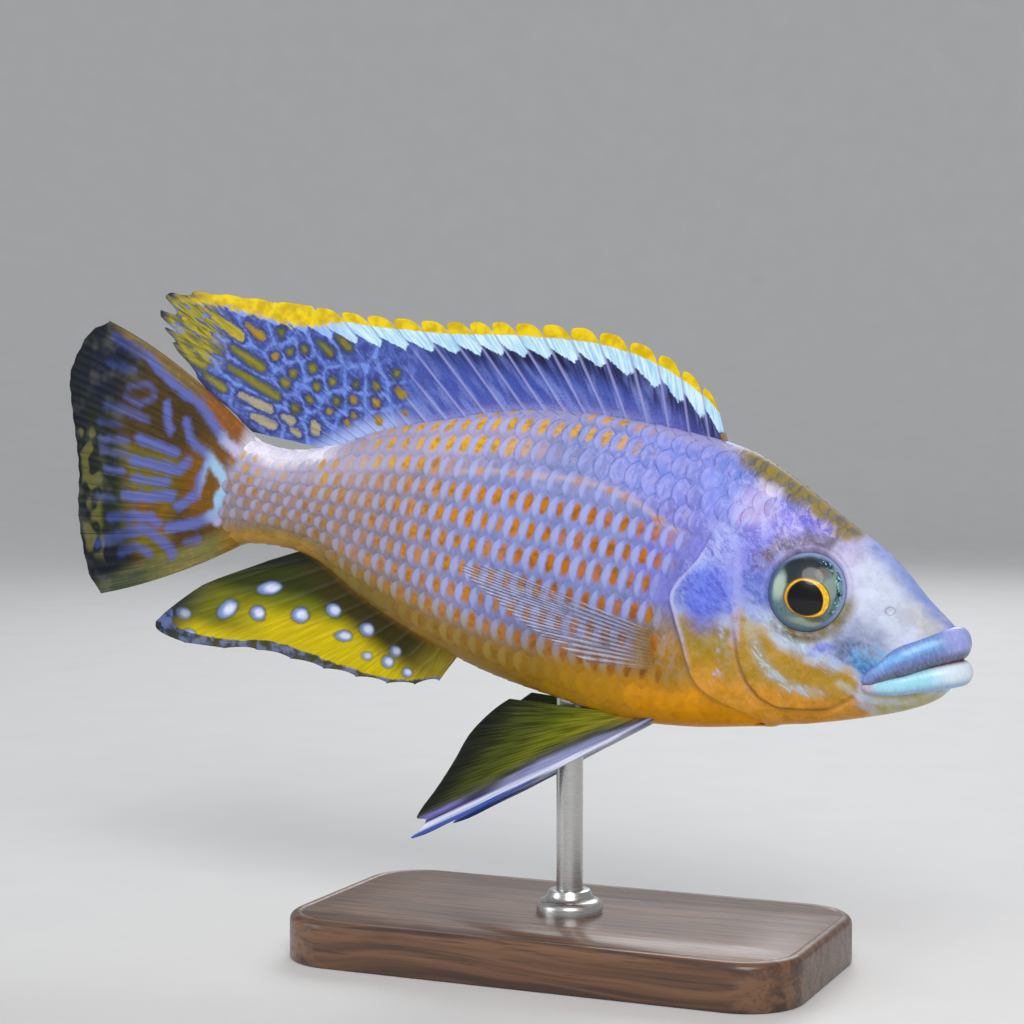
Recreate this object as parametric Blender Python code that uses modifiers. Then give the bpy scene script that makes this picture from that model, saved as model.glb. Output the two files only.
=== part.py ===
"""A male haplochromine cichlid of Lake Malawi, life size, held by a plain display stand.

Sizes are in millimetres on the fish itself: a runs back from the snout, v to the fish's left
and w up from its long axis. place() bends the tail a little to the left, tips the nose down and
holds the fish over the middle of the stand, in metres, with the head towards +X and +Z up.
"""
import math
from bisect import bisect_right

import bmesh
import bpy
from mathutils import Matrix, Vector

MM = 0.001
GAP = 0.3

STANDARD_LENGTH = 122.0
BODY_CENTRE = STANDARD_LENGTH / 2
NOSE_DOWN = math.radians(9.6)
BEND_START = 60.0
BEND_PER_MM = math.radians(8.0) / 90.0

# Body: back from the snout, top, bottom, half width
BODY = (
    (0.8, 1.0, -3.9, 1.9),
    (3.0, 3.1, -7.2, 3.7),
    (7.0, 6.0, -9.8, 5.1),
    (13.0, 10.9, -12.3, 6.4),
    (20.0, 14.5, -14.7, 7.5),
    (28.0, 18.5, -17.0, 8.7),
    (38.0, 22.1, -19.4, 9.6),
    (48.0, 23.2, -20.4, 9.8),
    (60.0, 23.2, -19.6, 9.3),
    (72.0, 21.9, -18.2, 8.2),
    (84.0, 18.6, -15.2, 6.7),
    (95.0, 15.0, -11.4, 5.2),
    (104.0, 10.9, -7.3, 4.1),
    (112.0, 8.8, -6.8, 3.2),
    (120.0, 9.4, -8.0, 2.4),
)
WIDEST_LEVEL = 0.46
ROOF_POWER = 1.08
KEEL_POWER = 0.85
RING_POINTS = 28
RING_SPACING = 3.0
HEAD_END = 46.0
TORSO_START = 20.0
TAIL_CUT = 107.5
PEDUNCLE_END = 119.7
GILL_SWELL = 0.5
GILL_SWELL_FROM = 22.0
GILL_SWELL_TO = 36.0

# Rear edge of the head and gill covers, from above the back to below the throat
GILL_EDGE = (
    (37.0, 40.0), (37.2, 18.0), (37.0, 11.0), (38.4, 6.2), (40.8, 2.4), (41.4, 0.2), (40.3, -2.6),
    (38.9, -5.6), (37.5, -9.0), (36.0, -11.5), (33.0, -13.3), (29.2, -14.5), (26.6, -15.8),
    (25.4, -18.0), (25.0, -30.0),
)
# Groove in front of the gill cover, from its upper end to below the throat
COVER_EDGE = (
    (50.0, 9.4), (36.0, 9.0), (33.6, 7.4), (32.3, -0.2), (30.6, -6.8), (29.0, -9.8),
    (27.0, -11.9), (24.6, -13.1), (22.8, -14.2), (22.2, -20.0),
)
COVER_INNER_FACE = 4.5
# Line of the mouth and the rear of the lower jaw
JAW_EDGE = (
    (-6.0, -0.9), (0.4, -1.5), (3.2, -2.4), (6.0, -3.9), (8.5, -5.5), (10.8, -6.8), (13.5, -8.0),
    (14.9, -10.0), (15.6, -14.0), (15.8, -24.0),
)
FAR_OUT = 40.0

LIP_CORNER = 13.0
LIP_HALF_WIDTH = 4.4
LIP_ROUNDNESS = 1.95
LIP_STEPS = 20
LIP_SIDES = 3
# Lips: back from the snout, level of the middle, radius
UPPER_LIP = ((1.9, 0.5, 1.8), (5.5, -1.1, 1.9), (9.0, -3.4, 1.7), (13.0, -6.8, 0.7))
LOWER_LIP = ((1.0, -3.2, 1.8), (5.0, -4.7, 1.6), (9.0, -6.6, 1.2), (13.0, -8.0, 0.6))

EYE_AT = (22.6, 4.5)
EYE_RADIUS = (5.6, 3.4, 5.8)
EYE_PROUD = 0.9
EYE_RINGS = 12
NOSTRIL_AT = (11.0, 3.9)
NOSTRIL_RADIUS = 0.7
NOSTRIL_RINGS = 6

MEMBRANE = 0.55
RIDGE = 0.9
MARGIN_TAPER = 0.25
MEMBRANE_STEPS = (0.28, 0.72)

# Dorsal fin: ray number, root, tip back, tip up
DORSAL_SPINES = 17
DORSAL_ROWS = 6
SPINE_NOTCH = 2.2
SOFT_RAY_NOTCH = 1.2
DORSAL_RAYS = (
    (0, 39.4, 42.5, 28.1), (1, 42.4, 45.4, 30.4), (3, 48.8, 53.0, 33.9), (5, 55.3, 62.9, 35.4),
    (8, 65.0, 76.7, 34.4), (11, 74.6, 88.3, 32.8), (14, 84.2, 102.4, 31.8), (16, 90.4, 111.9, 31.7),
    (18, 94.0, 122.0, 31.4), (20, 97.2, 134.0, 30.8), (21, 98.8, 140.0, 29.6),
    (22, 100.2, 141.0, 26.0), (23, 101.5, 137.5, 21.6), (24, 102.7, 130.0, 15.8),
    (25, 103.8, 119.5, 10.3),
)
# Fins below and behind: fraction from the first ray to the last, tip back, tip up
ANAL_TIPS = (
    (0.0, 79.5, -21.6), (0.15, 86.5, -23.8), (0.35, 99.0, -24.2), (0.55, 113.0, -24.0),
    (0.7, 124.0, -25.8), (0.8, 133.6, -24.8), (0.9, 126.0, -16.6), (1.0, 113.0, -9.4),
)
ANAL_ROOTS = (76.6, 105.8)
ANAL_RAYS = 12
ANAL_ROWS = 6
ANAL_NOTCH = 0.8
CAUDAL_TIPS = (
    (0.0, 151.6, 23.4), (0.08, 155.4, 21.2), (0.15, 157.4, 18.0), (0.25, 158.8, 13.4),
    (0.35, 157.8, 9.0), (0.5, 155.4, 2.2), (0.62, 153.9, -3.0), (0.75, 153.0, -9.0),
    (0.87, 150.8, -15.0), (0.95, 148.4, -19.4), (1.0, 145.6, -21.6),
)
CAUDAL_ROOTS = (8.9, -7.7)
CAUDAL_RAYS = 18
CAUDAL_ROWS = 8
CAUDAL_NOTCH = 0.8
CAUDAL_BASE_THICKNESS = 3.0
CAUDAL_BASE_SHARE = 0.25
PECTORAL_TIPS = (
    (0.0, 66.0, -0.4), (0.2, 73.0, -1.5), (0.45, 67.0, -5.0), (0.7, 60.0, -8.3), (1.0, 51.0, -11.2),
)
PECTORAL_BASE = 42.2
PECTORAL_ROOTS = (-5.2, -10.6)
PECTORAL_FLARE = 4.0
PECTORAL_RAYS = 13
PECTORAL_ROWS = 6
PECTORAL_NOTCH = 0.6
PELVIC_TIPS = (
    (0.0, 61.5, -33.6), (0.2, 76.5, -44.6), (0.4, 76.4, -40.8), (0.6, 73.5, -34.5),
    (0.8, 71.0, -27.6), (1.0, 68.0, -21.0),
)
PELVIC_ROOTS = (42.4, 47.6)
PELVIC_ROOT_BESIDE = (3.8, 2.6)
PELVIC_TIP_BESIDE = (8.0, 4.2)
PELVIC_RAYS = 6
PELVIC_ROWS = 7
PELVIC_NOTCH = 0.5

STAND_LENGTH = 80.0
STAND_WIDTH = 42.0
STAND_THICKNESS = 7.0
STAND_CORNER = 9.0
STAND_EDGE = 1.2
ROD_RADIUS = 2.0
# Collar: outer radius and height over its foot, from the foot up
COLLAR_PROFILE = ((5.0, 0.0), (5.0, 1.2), (4.5, 1.9), (3.5, 2.4), (3.2, 3.2), (2.9, 3.5))
AXIS_HEIGHT = 59.0
LEVEL_STEPS = 12

PARTS = "cichlid"


def clear_scene():
    for obj in list(bpy.data.objects):
        bpy.data.objects.remove(obj)


def smooth(rows, x):
    """The columns after the first, at x, on a smooth curve through the rows."""
    keys = [row[0] for row in rows]
    i = min(max(bisect_right(keys, x) - 1, 0), len(rows) - 2)

    def slope(j, column):
        low, high = rows[max(j - 1, 0)], rows[min(j + 1, len(rows) - 1)]
        return (high[column] - low[column]) / (high[0] - low[0])

    span = keys[i + 1] - keys[i]
    t = min(max((x - keys[i]) / span, 0.0), 1.0)
    values = []
    for column in range(1, len(rows[0])):
        start, end = rows[i][column], rows[i + 1][column]
        leave, arrive = slope(i, column) * span, slope(i + 1, column) * span
        ease = t * t * (3 - 2 * t)
        values.append(start + (end - start) * ease
                      + leave * t * (1 - t) ** 2 - arrive * t * t * (1 - t))
    return values


def place(a, v, w):
    bend = max(0.0, a - BEND_START) * BEND_PER_MM
    back = min(a, BEND_START) + math.sin(bend) / BEND_PER_MM
    x = BODY_CENTRE - back + v * math.sin(bend)
    y = (1 - math.cos(bend)) / BEND_PER_MM + v * math.cos(bend)
    down, level = math.sin(NOSE_DOWN), math.cos(NOSE_DOWN)
    return Vector((x * level + w * down, y, AXIS_HEIGHT - x * down + w * level)) * MM


def section(a):
    """Top, bottom, half width and widest level of the body at a."""
    top, bottom, half = smooth(BODY, a)
    return top, bottom, half, bottom + WIDEST_LEVEL * (top - bottom)


def flank(a, w):
    """Half width of the body at a, on the level w."""
    top, bottom, half, widest = section(a)
    reach, power = (top - widest, ROOF_POWER) if w > widest else (widest - bottom, KEEL_POWER)
    return half * max(0.0, 1 - ((w - widest) / reach) ** 2) ** (power / 2)


def belly(a, v):
    """Level of the underside at a, beside the middle by v."""
    _, bottom, half, widest = section(a)
    return widest - (widest - bottom) * math.sqrt(1 - (abs(v) / half) ** (2 / KEEL_POWER))


def flank_frame(a, w, side):
    """Axes on the flank: back along the body, out of it, and up."""
    here = place(a, side * flank(a, w), w)
    back = place(a + 1, side * flank(a + 1, w), w) - here
    up = place(a, side * flank(a, w + 1), w + 1) - here
    out = (back.cross(up) * side).normalized()
    back.normalize()
    frame = Matrix((back, out, back.cross(out))).transposed().to_4x4()
    frame.translation = here
    return frame


def make_material(name, colour, roughness, metallic=0.0):
    material = bpy.data.materials.new(name)
    material.use_nodes = True
    shader = material.node_tree.nodes["Principled BSDF"]
    shader.inputs["Base Color"].default_value = (*colour, 1.0)
    shader.inputs["Roughness"].default_value = roughness
    shader.inputs["Metallic"].default_value = metallic
    return material


def add_object(name, mesh, collection, material=None):
    obj = bpy.data.objects.new(name, mesh)
    collection.objects.link(obj)
    if material:
        obj.data.materials.append(material)
    return obj


def mesh_from(name, bm):
    bmesh.ops.recalc_face_normals(bm, faces=bm.faces)
    mesh = bpy.data.meshes.new(name)
    bm.to_mesh(mesh)
    bm.free()
    return mesh


def add_cutter(name, mesh):
    cutter = add_object(name, mesh, cutters)
    cutter.hide_render = True
    cutter.display_type = "WIRE"
    return cutter


def add_boolean(obj, other, operation):
    modifier = obj.modifiers.new(other.name, "BOOLEAN")
    modifier.operation = operation
    modifier.object = other
    modifier.solver = "EXACT"


def evaluated_mesh(obj):
    bpy.context.view_layer.update()
    depsgraph = bpy.context.evaluated_depsgraph_get()
    return bpy.data.meshes.new_from_object(obj.evaluated_get(depsgraph))


def largest_surface(bm):
    """Drops every closed surface but the largest."""
    islands = []
    waiting = set(bm.faces)
    while waiting:
        island = {waiting.pop()}
        front = list(island)
        while front:
            for edge in front.pop().edges:
                for face in edge.link_faces:
                    if face in waiting:
                        waiting.remove(face)
                        island.add(face)
                        front.append(face)
        islands.append(island)
    islands.sort(key=lambda island: sum(face.calc_area() for face in island))
    for island in islands[:-1]:
        bmesh.ops.delete(bm, geom=list(island), context="FACES")


def settle(obj):
    """Applies the modifiers and keeps one closed surface."""
    mesh = evaluated_mesh(obj)
    obj.modifiers.clear()
    bm = bmesh.new()
    bm.from_mesh(mesh)
    largest_surface(bm)
    bm.to_mesh(mesh)
    bm.free()
    obj.data = mesh
    shade(obj)


def shade(obj, angle=40):
    obj.data.shade_smooth()
    obj.data.set_sharp_from_angle(angle=math.radians(angle))


def swell(a):
    t = (a - GILL_SWELL_FROM) / (GILL_SWELL_TO - GILL_SWELL_FROM)
    t = min(max(t, 0.0), 1.0)
    return GILL_SWELL * t * t * (3 - 2 * t)


def loft(start, end, widen=lambda a: 0.0):
    """Body rings from start to end, closed by a flat face at each end."""
    steps = round((end - start) / RING_SPACING)
    bm = bmesh.new()
    rings = []
    for i in range(steps + 1):
        a = start + (end - start) * i / steps
        top, bottom, half, widest = section(a)
        ring = []
        for j in range(RING_POINTS):
            turn = 2 * math.pi * j / RING_POINTS
            lift, out = math.cos(turn), math.sin(turn)
            reach, power = (top - widest, ROOF_POWER) if lift > 0 else (widest - bottom, KEEL_POWER)
            v = math.copysign(abs(out) ** power, out) * (half + widen(a))
            ring.append(bm.verts.new(place(a, v, widest + lift * reach)))
        rings.append(ring)
    for ring, following in zip(rings, rings[1:]):
        for j in range(RING_POINTS):
            k = (j + 1) % RING_POINTS
            bm.faces.new((ring[j], ring[k], following[k], following[j]))
    bm.faces.new(rings[0])
    bm.faces.new(reversed(rings[-1]))
    return bm


def shifted(line, distance):
    """The line moved to its left by distance, seen with a to the right and w up."""
    moved = []
    for i, (a, w) in enumerate(line):
        before, after = line[max(i - 1, 0)], line[min(i + 1, len(line) - 1)]
        da, dw = after[0] - before[0], after[1] - before[1]
        length = math.hypot(da, dw)
        moved.append((a - dw / length * distance, w + da / length * distance))
    return moved


def prism(outline, inner, outer):
    """Block that has the side view's outline, between two distances beside the middle."""
    bm = bmesh.new()
    near = [bm.verts.new(place(a, inner, w)) for a, w in outline]
    far = [bm.verts.new(place(a, outer, w)) for a, w in outline]
    for i in range(len(outline)):
        j = (i + 1) % len(outline)
        bm.faces.new((near[i], near[j], far[j], far[i]))
    bm.faces.new(near)
    bm.faces.new(reversed(far))
    return bm


def head_block(spare):
    line = shifted(GILL_EDGE, spare)
    return prism([*line, (-10.0, -30.0), (-10.0, 40.0)], -FAR_OUT, FAR_OUT)


def jaw_block(spare):
    line = shifted(JAW_EDGE, spare)
    return prism([*line, (-6.0, -24.0)], -FAR_OUT, FAR_OUT)


def cover_block(side, spare):
    line = shifted(COVER_EDGE, -spare)
    outline = [*line, (50.0, -20.0)]
    return prism(outline, side * (COVER_INNER_FACE - spare), side * FAR_OUT)


def ball(radii, frame, rings):
    bm = bmesh.new()
    bmesh.ops.create_uvsphere(bm, u_segments=2 * rings, v_segments=rings, radius=1.0)
    bmesh.ops.transform(bm, verts=bm.verts, matrix=frame @ Matrix.Diagonal((*radii, 1.0)))
    return bm


def eye_ball(side, spare):
    frame = flank_frame(*EYE_AT, side)
    frame.translation += frame.col[1].to_3d() * (EYE_PROUD - EYE_RADIUS[1]) * MM
    turned = frame @ Matrix.Rotation(math.pi / 2, 4, "X")
    along, deep, tall = ((radius + spare) * MM for radius in EYE_RADIUS)
    return ball((along, tall, deep), turned, EYE_RINGS)


def lip_curve(name, rows):
    """Tube round the front of the mouth, thinner towards its two corners."""
    curve = bpy.data.curves.new(name, "CURVE")
    curve.dimensions = "3D"
    curve.bevel_depth = MM
    curve.bevel_resolution = LIP_SIDES
    curve.use_fill_caps = True
    spline = curve.splines.new("POLY")
    spline.points.add(LIP_STEPS)
    front = rows[0][0]
    for i, point in enumerate(spline.points):
        turn = math.pi * (i / LIP_STEPS - 0.5)
        reach = abs(math.cos(turn)) ** (2 / LIP_ROUNDNESS)
        a = LIP_CORNER - (LIP_CORNER - front) * reach
        v = LIP_HALF_WIDTH * math.copysign(abs(math.sin(turn)) ** (2 / LIP_ROUNDNESS), turn)
        level, radius = smooth(rows, a)
        point.co = (*place(a, v, level), 1.0)
        point.radius = radius
    return curve


def tube_mesh(name, curve):
    """The curve as a closed mesh."""
    carrier = add_object(name, curve, cutters)
    mesh = evaluated_mesh(carrier)
    bpy.data.objects.remove(carrier)
    bm = bmesh.new()
    bm.from_mesh(mesh)
    bmesh.ops.remove_doubles(bm, verts=bm.verts, dist=1e-7)
    bm.to_mesh(mesh)
    bm.free()
    return mesh


def make_head():
    head = add_object("head", mesh_from("head", loft(BODY[0][0], HEAD_END, swell)), parts, SKIN)
    lip = add_cutter("upper_lip_roll", tube_mesh("upper_lip_roll", lip_curve("upper_lip", UPPER_LIP)))
    add_boolean(head, lip, "UNION")
    add_boolean(head, add_cutter("head_limit", mesh_from("head_limit", head_block(0.0))), "INTERSECT")
    add_boolean(head, add_cutter("jaw_room", mesh_from("jaw_room", jaw_block(GAP))), "DIFFERENCE")
    for word, side in SIDES:
        room = mesh_from("cover_room_" + word, cover_block(side, GAP))
        add_boolean(head, add_cutter(room.name, room), "DIFFERENCE")
        socket = mesh_from("socket_" + word, eye_ball(side, GAP))
        add_boolean(head, add_cutter(socket.name, socket), "DIFFERENCE")
        pit_frame = flank_frame(*NOSTRIL_AT, side)
        pit = mesh_from("nostril_" + word, ball([NOSTRIL_RADIUS * MM] * 3, pit_frame, NOSTRIL_RINGS))
        add_boolean(head, add_cutter(pit.name, pit), "DIFFERENCE")
    settle(head)


def make_lower_jaw():
    jaw = add_object("lower_jaw", mesh_from("lower_jaw", loft(BODY[0][0], TORSO_START)), parts, SKIN)
    lip = add_cutter("lower_lip_roll", tube_mesh("lower_lip_roll", lip_curve("lower_lip", LOWER_LIP)))
    add_boolean(jaw, lip, "UNION")
    add_boolean(jaw, add_cutter("jaw_limit", mesh_from("jaw_limit", jaw_block(0.0))), "INTERSECT")
    settle(jaw)


def make_gill_cover(word, side):
    cover = add_object("gill_cover_" + word, mesh_from("gill_cover", loft(TORSO_START, HEAD_END, swell)),
                       parts, COVER_SKIN)
    add_boolean(cover, bpy.data.objects["head_limit"], "INTERSECT")
    limit = mesh_from("cover_limit_" + word, cover_block(side, 0.0))
    add_boolean(cover, add_cutter(limit.name, limit), "INTERSECT")
    settle(cover)


def make_eye(word, side):
    eye = add_object("eye_" + word, mesh_from("eye", eye_ball(side, 0.0)), parts, EYE)
    shade(eye)


def make_trunk():
    torso = add_object("torso", mesh_from("torso", loft(TORSO_START, TAIL_CUT - GAP / 2)), parts, SKIN)
    room = mesh_from("head_room", head_block(GAP))
    add_boolean(torso, add_cutter("head_room", room), "DIFFERENCE")
    settle(torso)
    peduncle = loft(TAIL_CUT + GAP / 2, PEDUNCLE_END)
    shade(add_object("caudal_peduncle", mesh_from("caudal_peduncle", peduncle), parts, SKIN))


def make_fin(name, rays, rows, root, tip, beside, notch, thickness, material):
    """Ribbed membrane: a sheet between its rays, thickened most along them.

    root(q) and tip(q) are side-view points at q, from 0 at the first ray to 1 at the last.
    beside(q, s) is the distance to the left of the middle, s running from root to margin.
    thickness(q, s, on_ray) is in mm, and notch(q) is how far the margin dips between rays.
    """
    offsets = (0.0, *MEMBRANE_STEPS)
    columns = [i + offset for i in range(rays - 1) for offset in offsets] + [rays - 1.0]
    bm = bmesh.new()
    bmesh.ops.create_grid(bm, x_segments=len(columns) - 1, y_segments=rows, size=1.0)
    widths = {}
    for vert in bm.verts:
        ray = columns[round((vert.co.x + 1) / 2 * (len(columns) - 1))]
        q, s = ray / (rays - 1), round((vert.co.y + 1) / 2 * rows) / rows
        on_ray = ray % 1 == 0
        start, end = Vector(root(q)), Vector(tip(q))
        if not on_ray:
            depth = notch(q) * (ray % 1 if ray % 1 > 0.5 else 0.5 * (ray % 1))
            end -= (end - start).normalized() * depth
        a, w = start.lerp(end, s)
        vert.co = place(a, beside(q, s, a, w), w)
        widths[vert.index] = thickness(q, s, on_ray)
    bmesh.ops.triangulate(bm, faces=bm.faces, quad_method="FIXED")
    fin = add_object(name, mesh_from(name, bm), parts, material)
    group = fin.vertex_groups.new(name="thickness")
    widest = max(widths.values())
    for index, width in widths.items():
        group.add([index], width / widest, "REPLACE")
    solid = fin.modifiers.new("thickness", "SOLIDIFY")
    solid.thickness = widest * MM
    solid.offset = 0.0
    solid.vertex_group = group.name
    shade(fin, 60)


def ribbed(q, s, on_ray):
    """Ray or membrane thickness, less towards the margin."""
    return (RIDGE if on_ray or s == 0 else MEMBRANE) * (1 - MARGIN_TAPER * s)


def between(ends, q):
    return ends[0] + (ends[1] - ends[0]) * q


def make_dorsal_fin():
    last = DORSAL_RAYS[-1][0]

    def root(q):
        a = smooth(DORSAL_RAYS, q * last)[0]
        return a, section(a)[0] + GAP

    def tip(q):
        return smooth(DORSAL_RAYS, q * last)[1:]

    def notch(q):
        return SPINE_NOTCH if q * last < DORSAL_SPINES - 1 else SOFT_RAY_NOTCH

    make_fin("dorsal_fin", last + 1, DORSAL_ROWS, root, tip, lambda q, s, a, w: 0.0, notch, ribbed,
             FIN_BLUE)


def make_anal_fin():
    def root(q):
        a = between(ANAL_ROOTS, q)
        return a, section(a)[1] - GAP

    make_fin("anal_fin", ANAL_RAYS, ANAL_ROWS, root, lambda q: smooth(ANAL_TIPS, q),
             lambda q, s, a, w: 0.0, lambda q: ANAL_NOTCH, ribbed, FIN_YELLOW)


def make_caudal_fin():
    def thickness(q, s, on_ray):
        rounding = math.sqrt(max(0.0, 1 - (2 * q - 1) ** 2))
        fleshy = CAUDAL_BASE_THICKNESS * rounding * max(0.0, 1 - s / CAUDAL_BASE_SHARE) ** 2
        return max(ribbed(q, s, on_ray), fleshy)

    make_fin("caudal_fin", CAUDAL_RAYS, CAUDAL_ROWS,
             lambda q: (PEDUNCLE_END + GAP, between(CAUDAL_ROOTS, q)),
             lambda q: smooth(CAUDAL_TIPS, q), lambda q, s, a, w: 0.0, lambda q: CAUDAL_NOTCH,
             thickness, FIN_OCHRE)


def make_pectoral_fin(word, side):
    def beside(q, s, a, w):
        return side * (flank(a, w) + GAP + RIDGE / 2 + PECTORAL_FLARE * s)

    make_fin("pectoral_fin_" + word, PECTORAL_RAYS, PECTORAL_ROWS,
             lambda q: (PECTORAL_BASE, between(PECTORAL_ROOTS, q)),
             lambda q: smooth(PECTORAL_TIPS, q), beside, lambda q: PECTORAL_NOTCH, ribbed, FIN_CLEAR)


def make_pelvic_fin(word, side):
    def root(q):
        a = between(PELVIC_ROOTS, q)
        return a, belly(a, between(PELVIC_ROOT_BESIDE, q) - RIDGE / 2) - GAP

    def beside(q, s, a, w):
        start, end = between(PELVIC_ROOT_BESIDE, q), between(PELVIC_TIP_BESIDE, q)
        return side * (start + (end - start) * s)

    make_fin("pelvic_fin_" + word, PELVIC_RAYS, PELVIC_ROWS, root,
             lambda q: smooth(PELVIC_TIPS, q), beside, lambda q: PELVIC_NOTCH, ribbed, FIN_YELLOW)


def make_stand_base():
    bm = bmesh.new()
    bmesh.ops.create_cube(bm, size=1.0)
    size = Matrix.Diagonal((STAND_LENGTH, STAND_WIDTH, STAND_THICKNESS, 1 / MM)) * MM
    bmesh.ops.transform(bm, verts=bm.verts, matrix=size)
    upright = [e for e in bm.edges if abs(e.verts[0].co.z - e.verts[1].co.z) > MM]
    bmesh.ops.bevel(bm, geom=upright, offset=STAND_CORNER * MM, segments=6, profile=0.5,
                    affect="EDGES")
    rim = [e for e in bm.edges if all(vert.co.z > 0 for vert in e.verts)]
    bmesh.ops.bevel(bm, geom=rim, offset=STAND_EDGE * MM, segments=2, profile=0.5, affect="EDGES")
    base = add_object("stand_base", mesh_from("stand_base", bm), parts, WOOD)
    base.location.z = STAND_THICKNESS / 2 * MM


def underside_height(x, y):
    """Height of the belly over the floor at a place under the fish, in mm."""
    down, level = math.sin(NOSE_DOWN), math.cos(NOSE_DOWN)
    w = 0.0
    for _ in range(LEVEL_STEPS):
        forward = (x - w * down) / level
        w = belly(BODY_CENTRE - forward, y)
    return AXIS_HEIGHT - forward * down + w * level


def make_stand_rod():
    foot = STAND_THICKNESS + GAP
    bm = bmesh.new()
    bmesh.ops.create_cone(bm, cap_ends=True, cap_tris=True, segments=20, depth=1.0,
                          radius1=ROD_RADIUS, radius2=ROD_RADIUS)
    for vert in bm.verts:
        x, y = vert.co.x, vert.co.y
        vert.co.z = underside_height(x, y) - GAP if vert.co.z > 0 else foot
    bmesh.ops.scale(bm, vec=(MM, MM, MM), verts=bm.verts)
    shade(add_object("stand_rod", mesh_from("stand_rod", bm), parts, STEEL))


def make_stand_collar():
    inner, foot = ROD_RADIUS + GAP, STAND_THICKNESS + GAP
    profile = [*COLLAR_PROFILE, (inner, COLLAR_PROFILE[-1][1]), (inner, 0.0)]
    bm = bmesh.new()
    points = [bm.verts.new((radius * MM, 0.0, (foot + height) * MM))
              for radius, height in reversed(profile)]
    for i, point in enumerate(points):
        bm.edges.new((point, points[(i + 1) % len(points)]))
    mesh = bpy.data.meshes.new("stand_collar")
    bm.to_mesh(mesh)
    bm.free()
    collar = add_object("stand_collar", mesh, parts, STEEL)
    turn = collar.modifiers.new("turn", "SCREW")
    turn.steps = turn.render_steps = 24
    turn.use_merge_vertices = True
    turn.merge_threshold = 0.00001
    turn.use_normal_calculate = True


SIDES = (("right", -1), ("left", 1))

clear_scene()
parts = bpy.data.collections.new(PARTS)
cutters = bpy.data.collections.new("cutters")
bpy.context.scene.collection.children.link(parts)
bpy.context.scene.collection.children.link(cutters)

SKIN = make_material("skin", (0.42, 0.40, 0.62), 0.35)
COVER_SKIN = make_material("gill_cover_skin", (0.50, 0.42, 0.36), 0.3)
EYE = make_material("eye", (0.08, 0.16, 0.15), 0.08)
FIN_BLUE = make_material("blue_fin", (0.12, 0.17, 0.42), 0.4)
FIN_YELLOW = make_material("yellow_fin", (0.60, 0.50, 0.04), 0.4)
FIN_OCHRE = make_material("ochre_fin", (0.42, 0.26, 0.14), 0.4)
FIN_CLEAR = make_material("clear_fin", (0.62, 0.56, 0.52), 0.3)
WOOD = make_material("stand_wood", (0.10, 0.06, 0.04), 0.45)
STEEL = make_material("stand_steel", (0.62, 0.60, 0.57), 0.3, 1.0)

make_head()
make_lower_jaw()
make_trunk()
make_dorsal_fin()
make_anal_fin()
make_caudal_fin()
for word, side in SIDES:
    make_gill_cover(word, side)
    make_eye(word, side)
    make_pectoral_fin(word, side)
    make_pelvic_fin(word, side)
make_stand_base()
make_stand_rod()
make_stand_collar()
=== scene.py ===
"""Looks of the male lake cichlid: skin, scales, fins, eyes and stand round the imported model.

Sizes are in millimetres on the fish: a runs back from the snout, v to its left and w up from its
long axis. place() puts such a point into the row frame. Colours are written as screen values.
"""

import math

import bmesh
import bpy
import numpy as np
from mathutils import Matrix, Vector


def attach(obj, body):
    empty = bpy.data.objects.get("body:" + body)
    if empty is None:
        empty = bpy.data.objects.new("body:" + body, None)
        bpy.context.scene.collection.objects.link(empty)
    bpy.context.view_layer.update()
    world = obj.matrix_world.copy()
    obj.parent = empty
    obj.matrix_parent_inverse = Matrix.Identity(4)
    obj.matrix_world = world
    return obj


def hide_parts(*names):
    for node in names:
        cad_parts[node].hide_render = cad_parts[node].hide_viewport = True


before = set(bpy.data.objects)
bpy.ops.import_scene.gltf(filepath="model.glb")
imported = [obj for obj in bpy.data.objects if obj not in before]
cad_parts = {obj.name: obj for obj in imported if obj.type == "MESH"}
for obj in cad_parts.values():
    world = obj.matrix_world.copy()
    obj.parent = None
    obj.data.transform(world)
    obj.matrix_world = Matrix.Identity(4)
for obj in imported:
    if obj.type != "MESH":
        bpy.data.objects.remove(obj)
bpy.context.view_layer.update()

MM = 0.001
STANDARD_LENGTH = 122.0
BODY_CENTRE = STANDARD_LENGTH / 2
NOSE_DOWN = math.radians(9.6)
BEND_START = 60.0
BEND_PER_MM = math.radians(8.0) / 90.0
AXIS_HEIGHT = 59.0

# Body: back from the snout, top, bottom, half width
BODY = (
    (0.8, 1.0, -3.9, 1.9), (3.0, 3.1, -7.2, 3.7), (7.0, 6.0, -9.8, 5.1), (13.0, 10.9, -12.3, 6.4),
    (20.0, 14.5, -14.7, 7.5), (28.0, 18.5, -17.0, 8.7), (38.0, 22.1, -19.4, 9.6),
    (48.0, 23.2, -20.4, 9.8), (60.0, 23.2, -19.6, 9.3), (72.0, 21.9, -18.2, 8.2),
    (84.0, 18.6, -15.2, 6.7), (95.0, 15.0, -11.4, 5.2), (104.0, 10.9, -7.3, 4.1),
    (112.0, 8.8, -6.8, 3.2), (120.0, 9.4, -8.0, 2.4),
)
BODY_END = 119.7
WIDEST_LEVEL = 0.46
ROOF_POWER = 1.08
KEEL_POWER = 0.85

# Rear edge of the gill cover: level, back from the snout
GILL_EDGE = (
    (-30.0, 25.0), (-18.0, 25.4), (-15.8, 26.6), (-14.5, 29.2), (-13.3, 33.0), (-11.5, 36.0),
    (-9.0, 37.5), (-5.6, 38.9), (-2.6, 40.3), (0.2, 41.4), (2.4, 40.8), (6.2, 38.4), (11.0, 37.0),
    (18.0, 37.2), (40.0, 37.0),
)
GILL_SWELL = 0.5
GILL_TOP = 9.5
GILL_TOP_SOFT = 1.5
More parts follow.
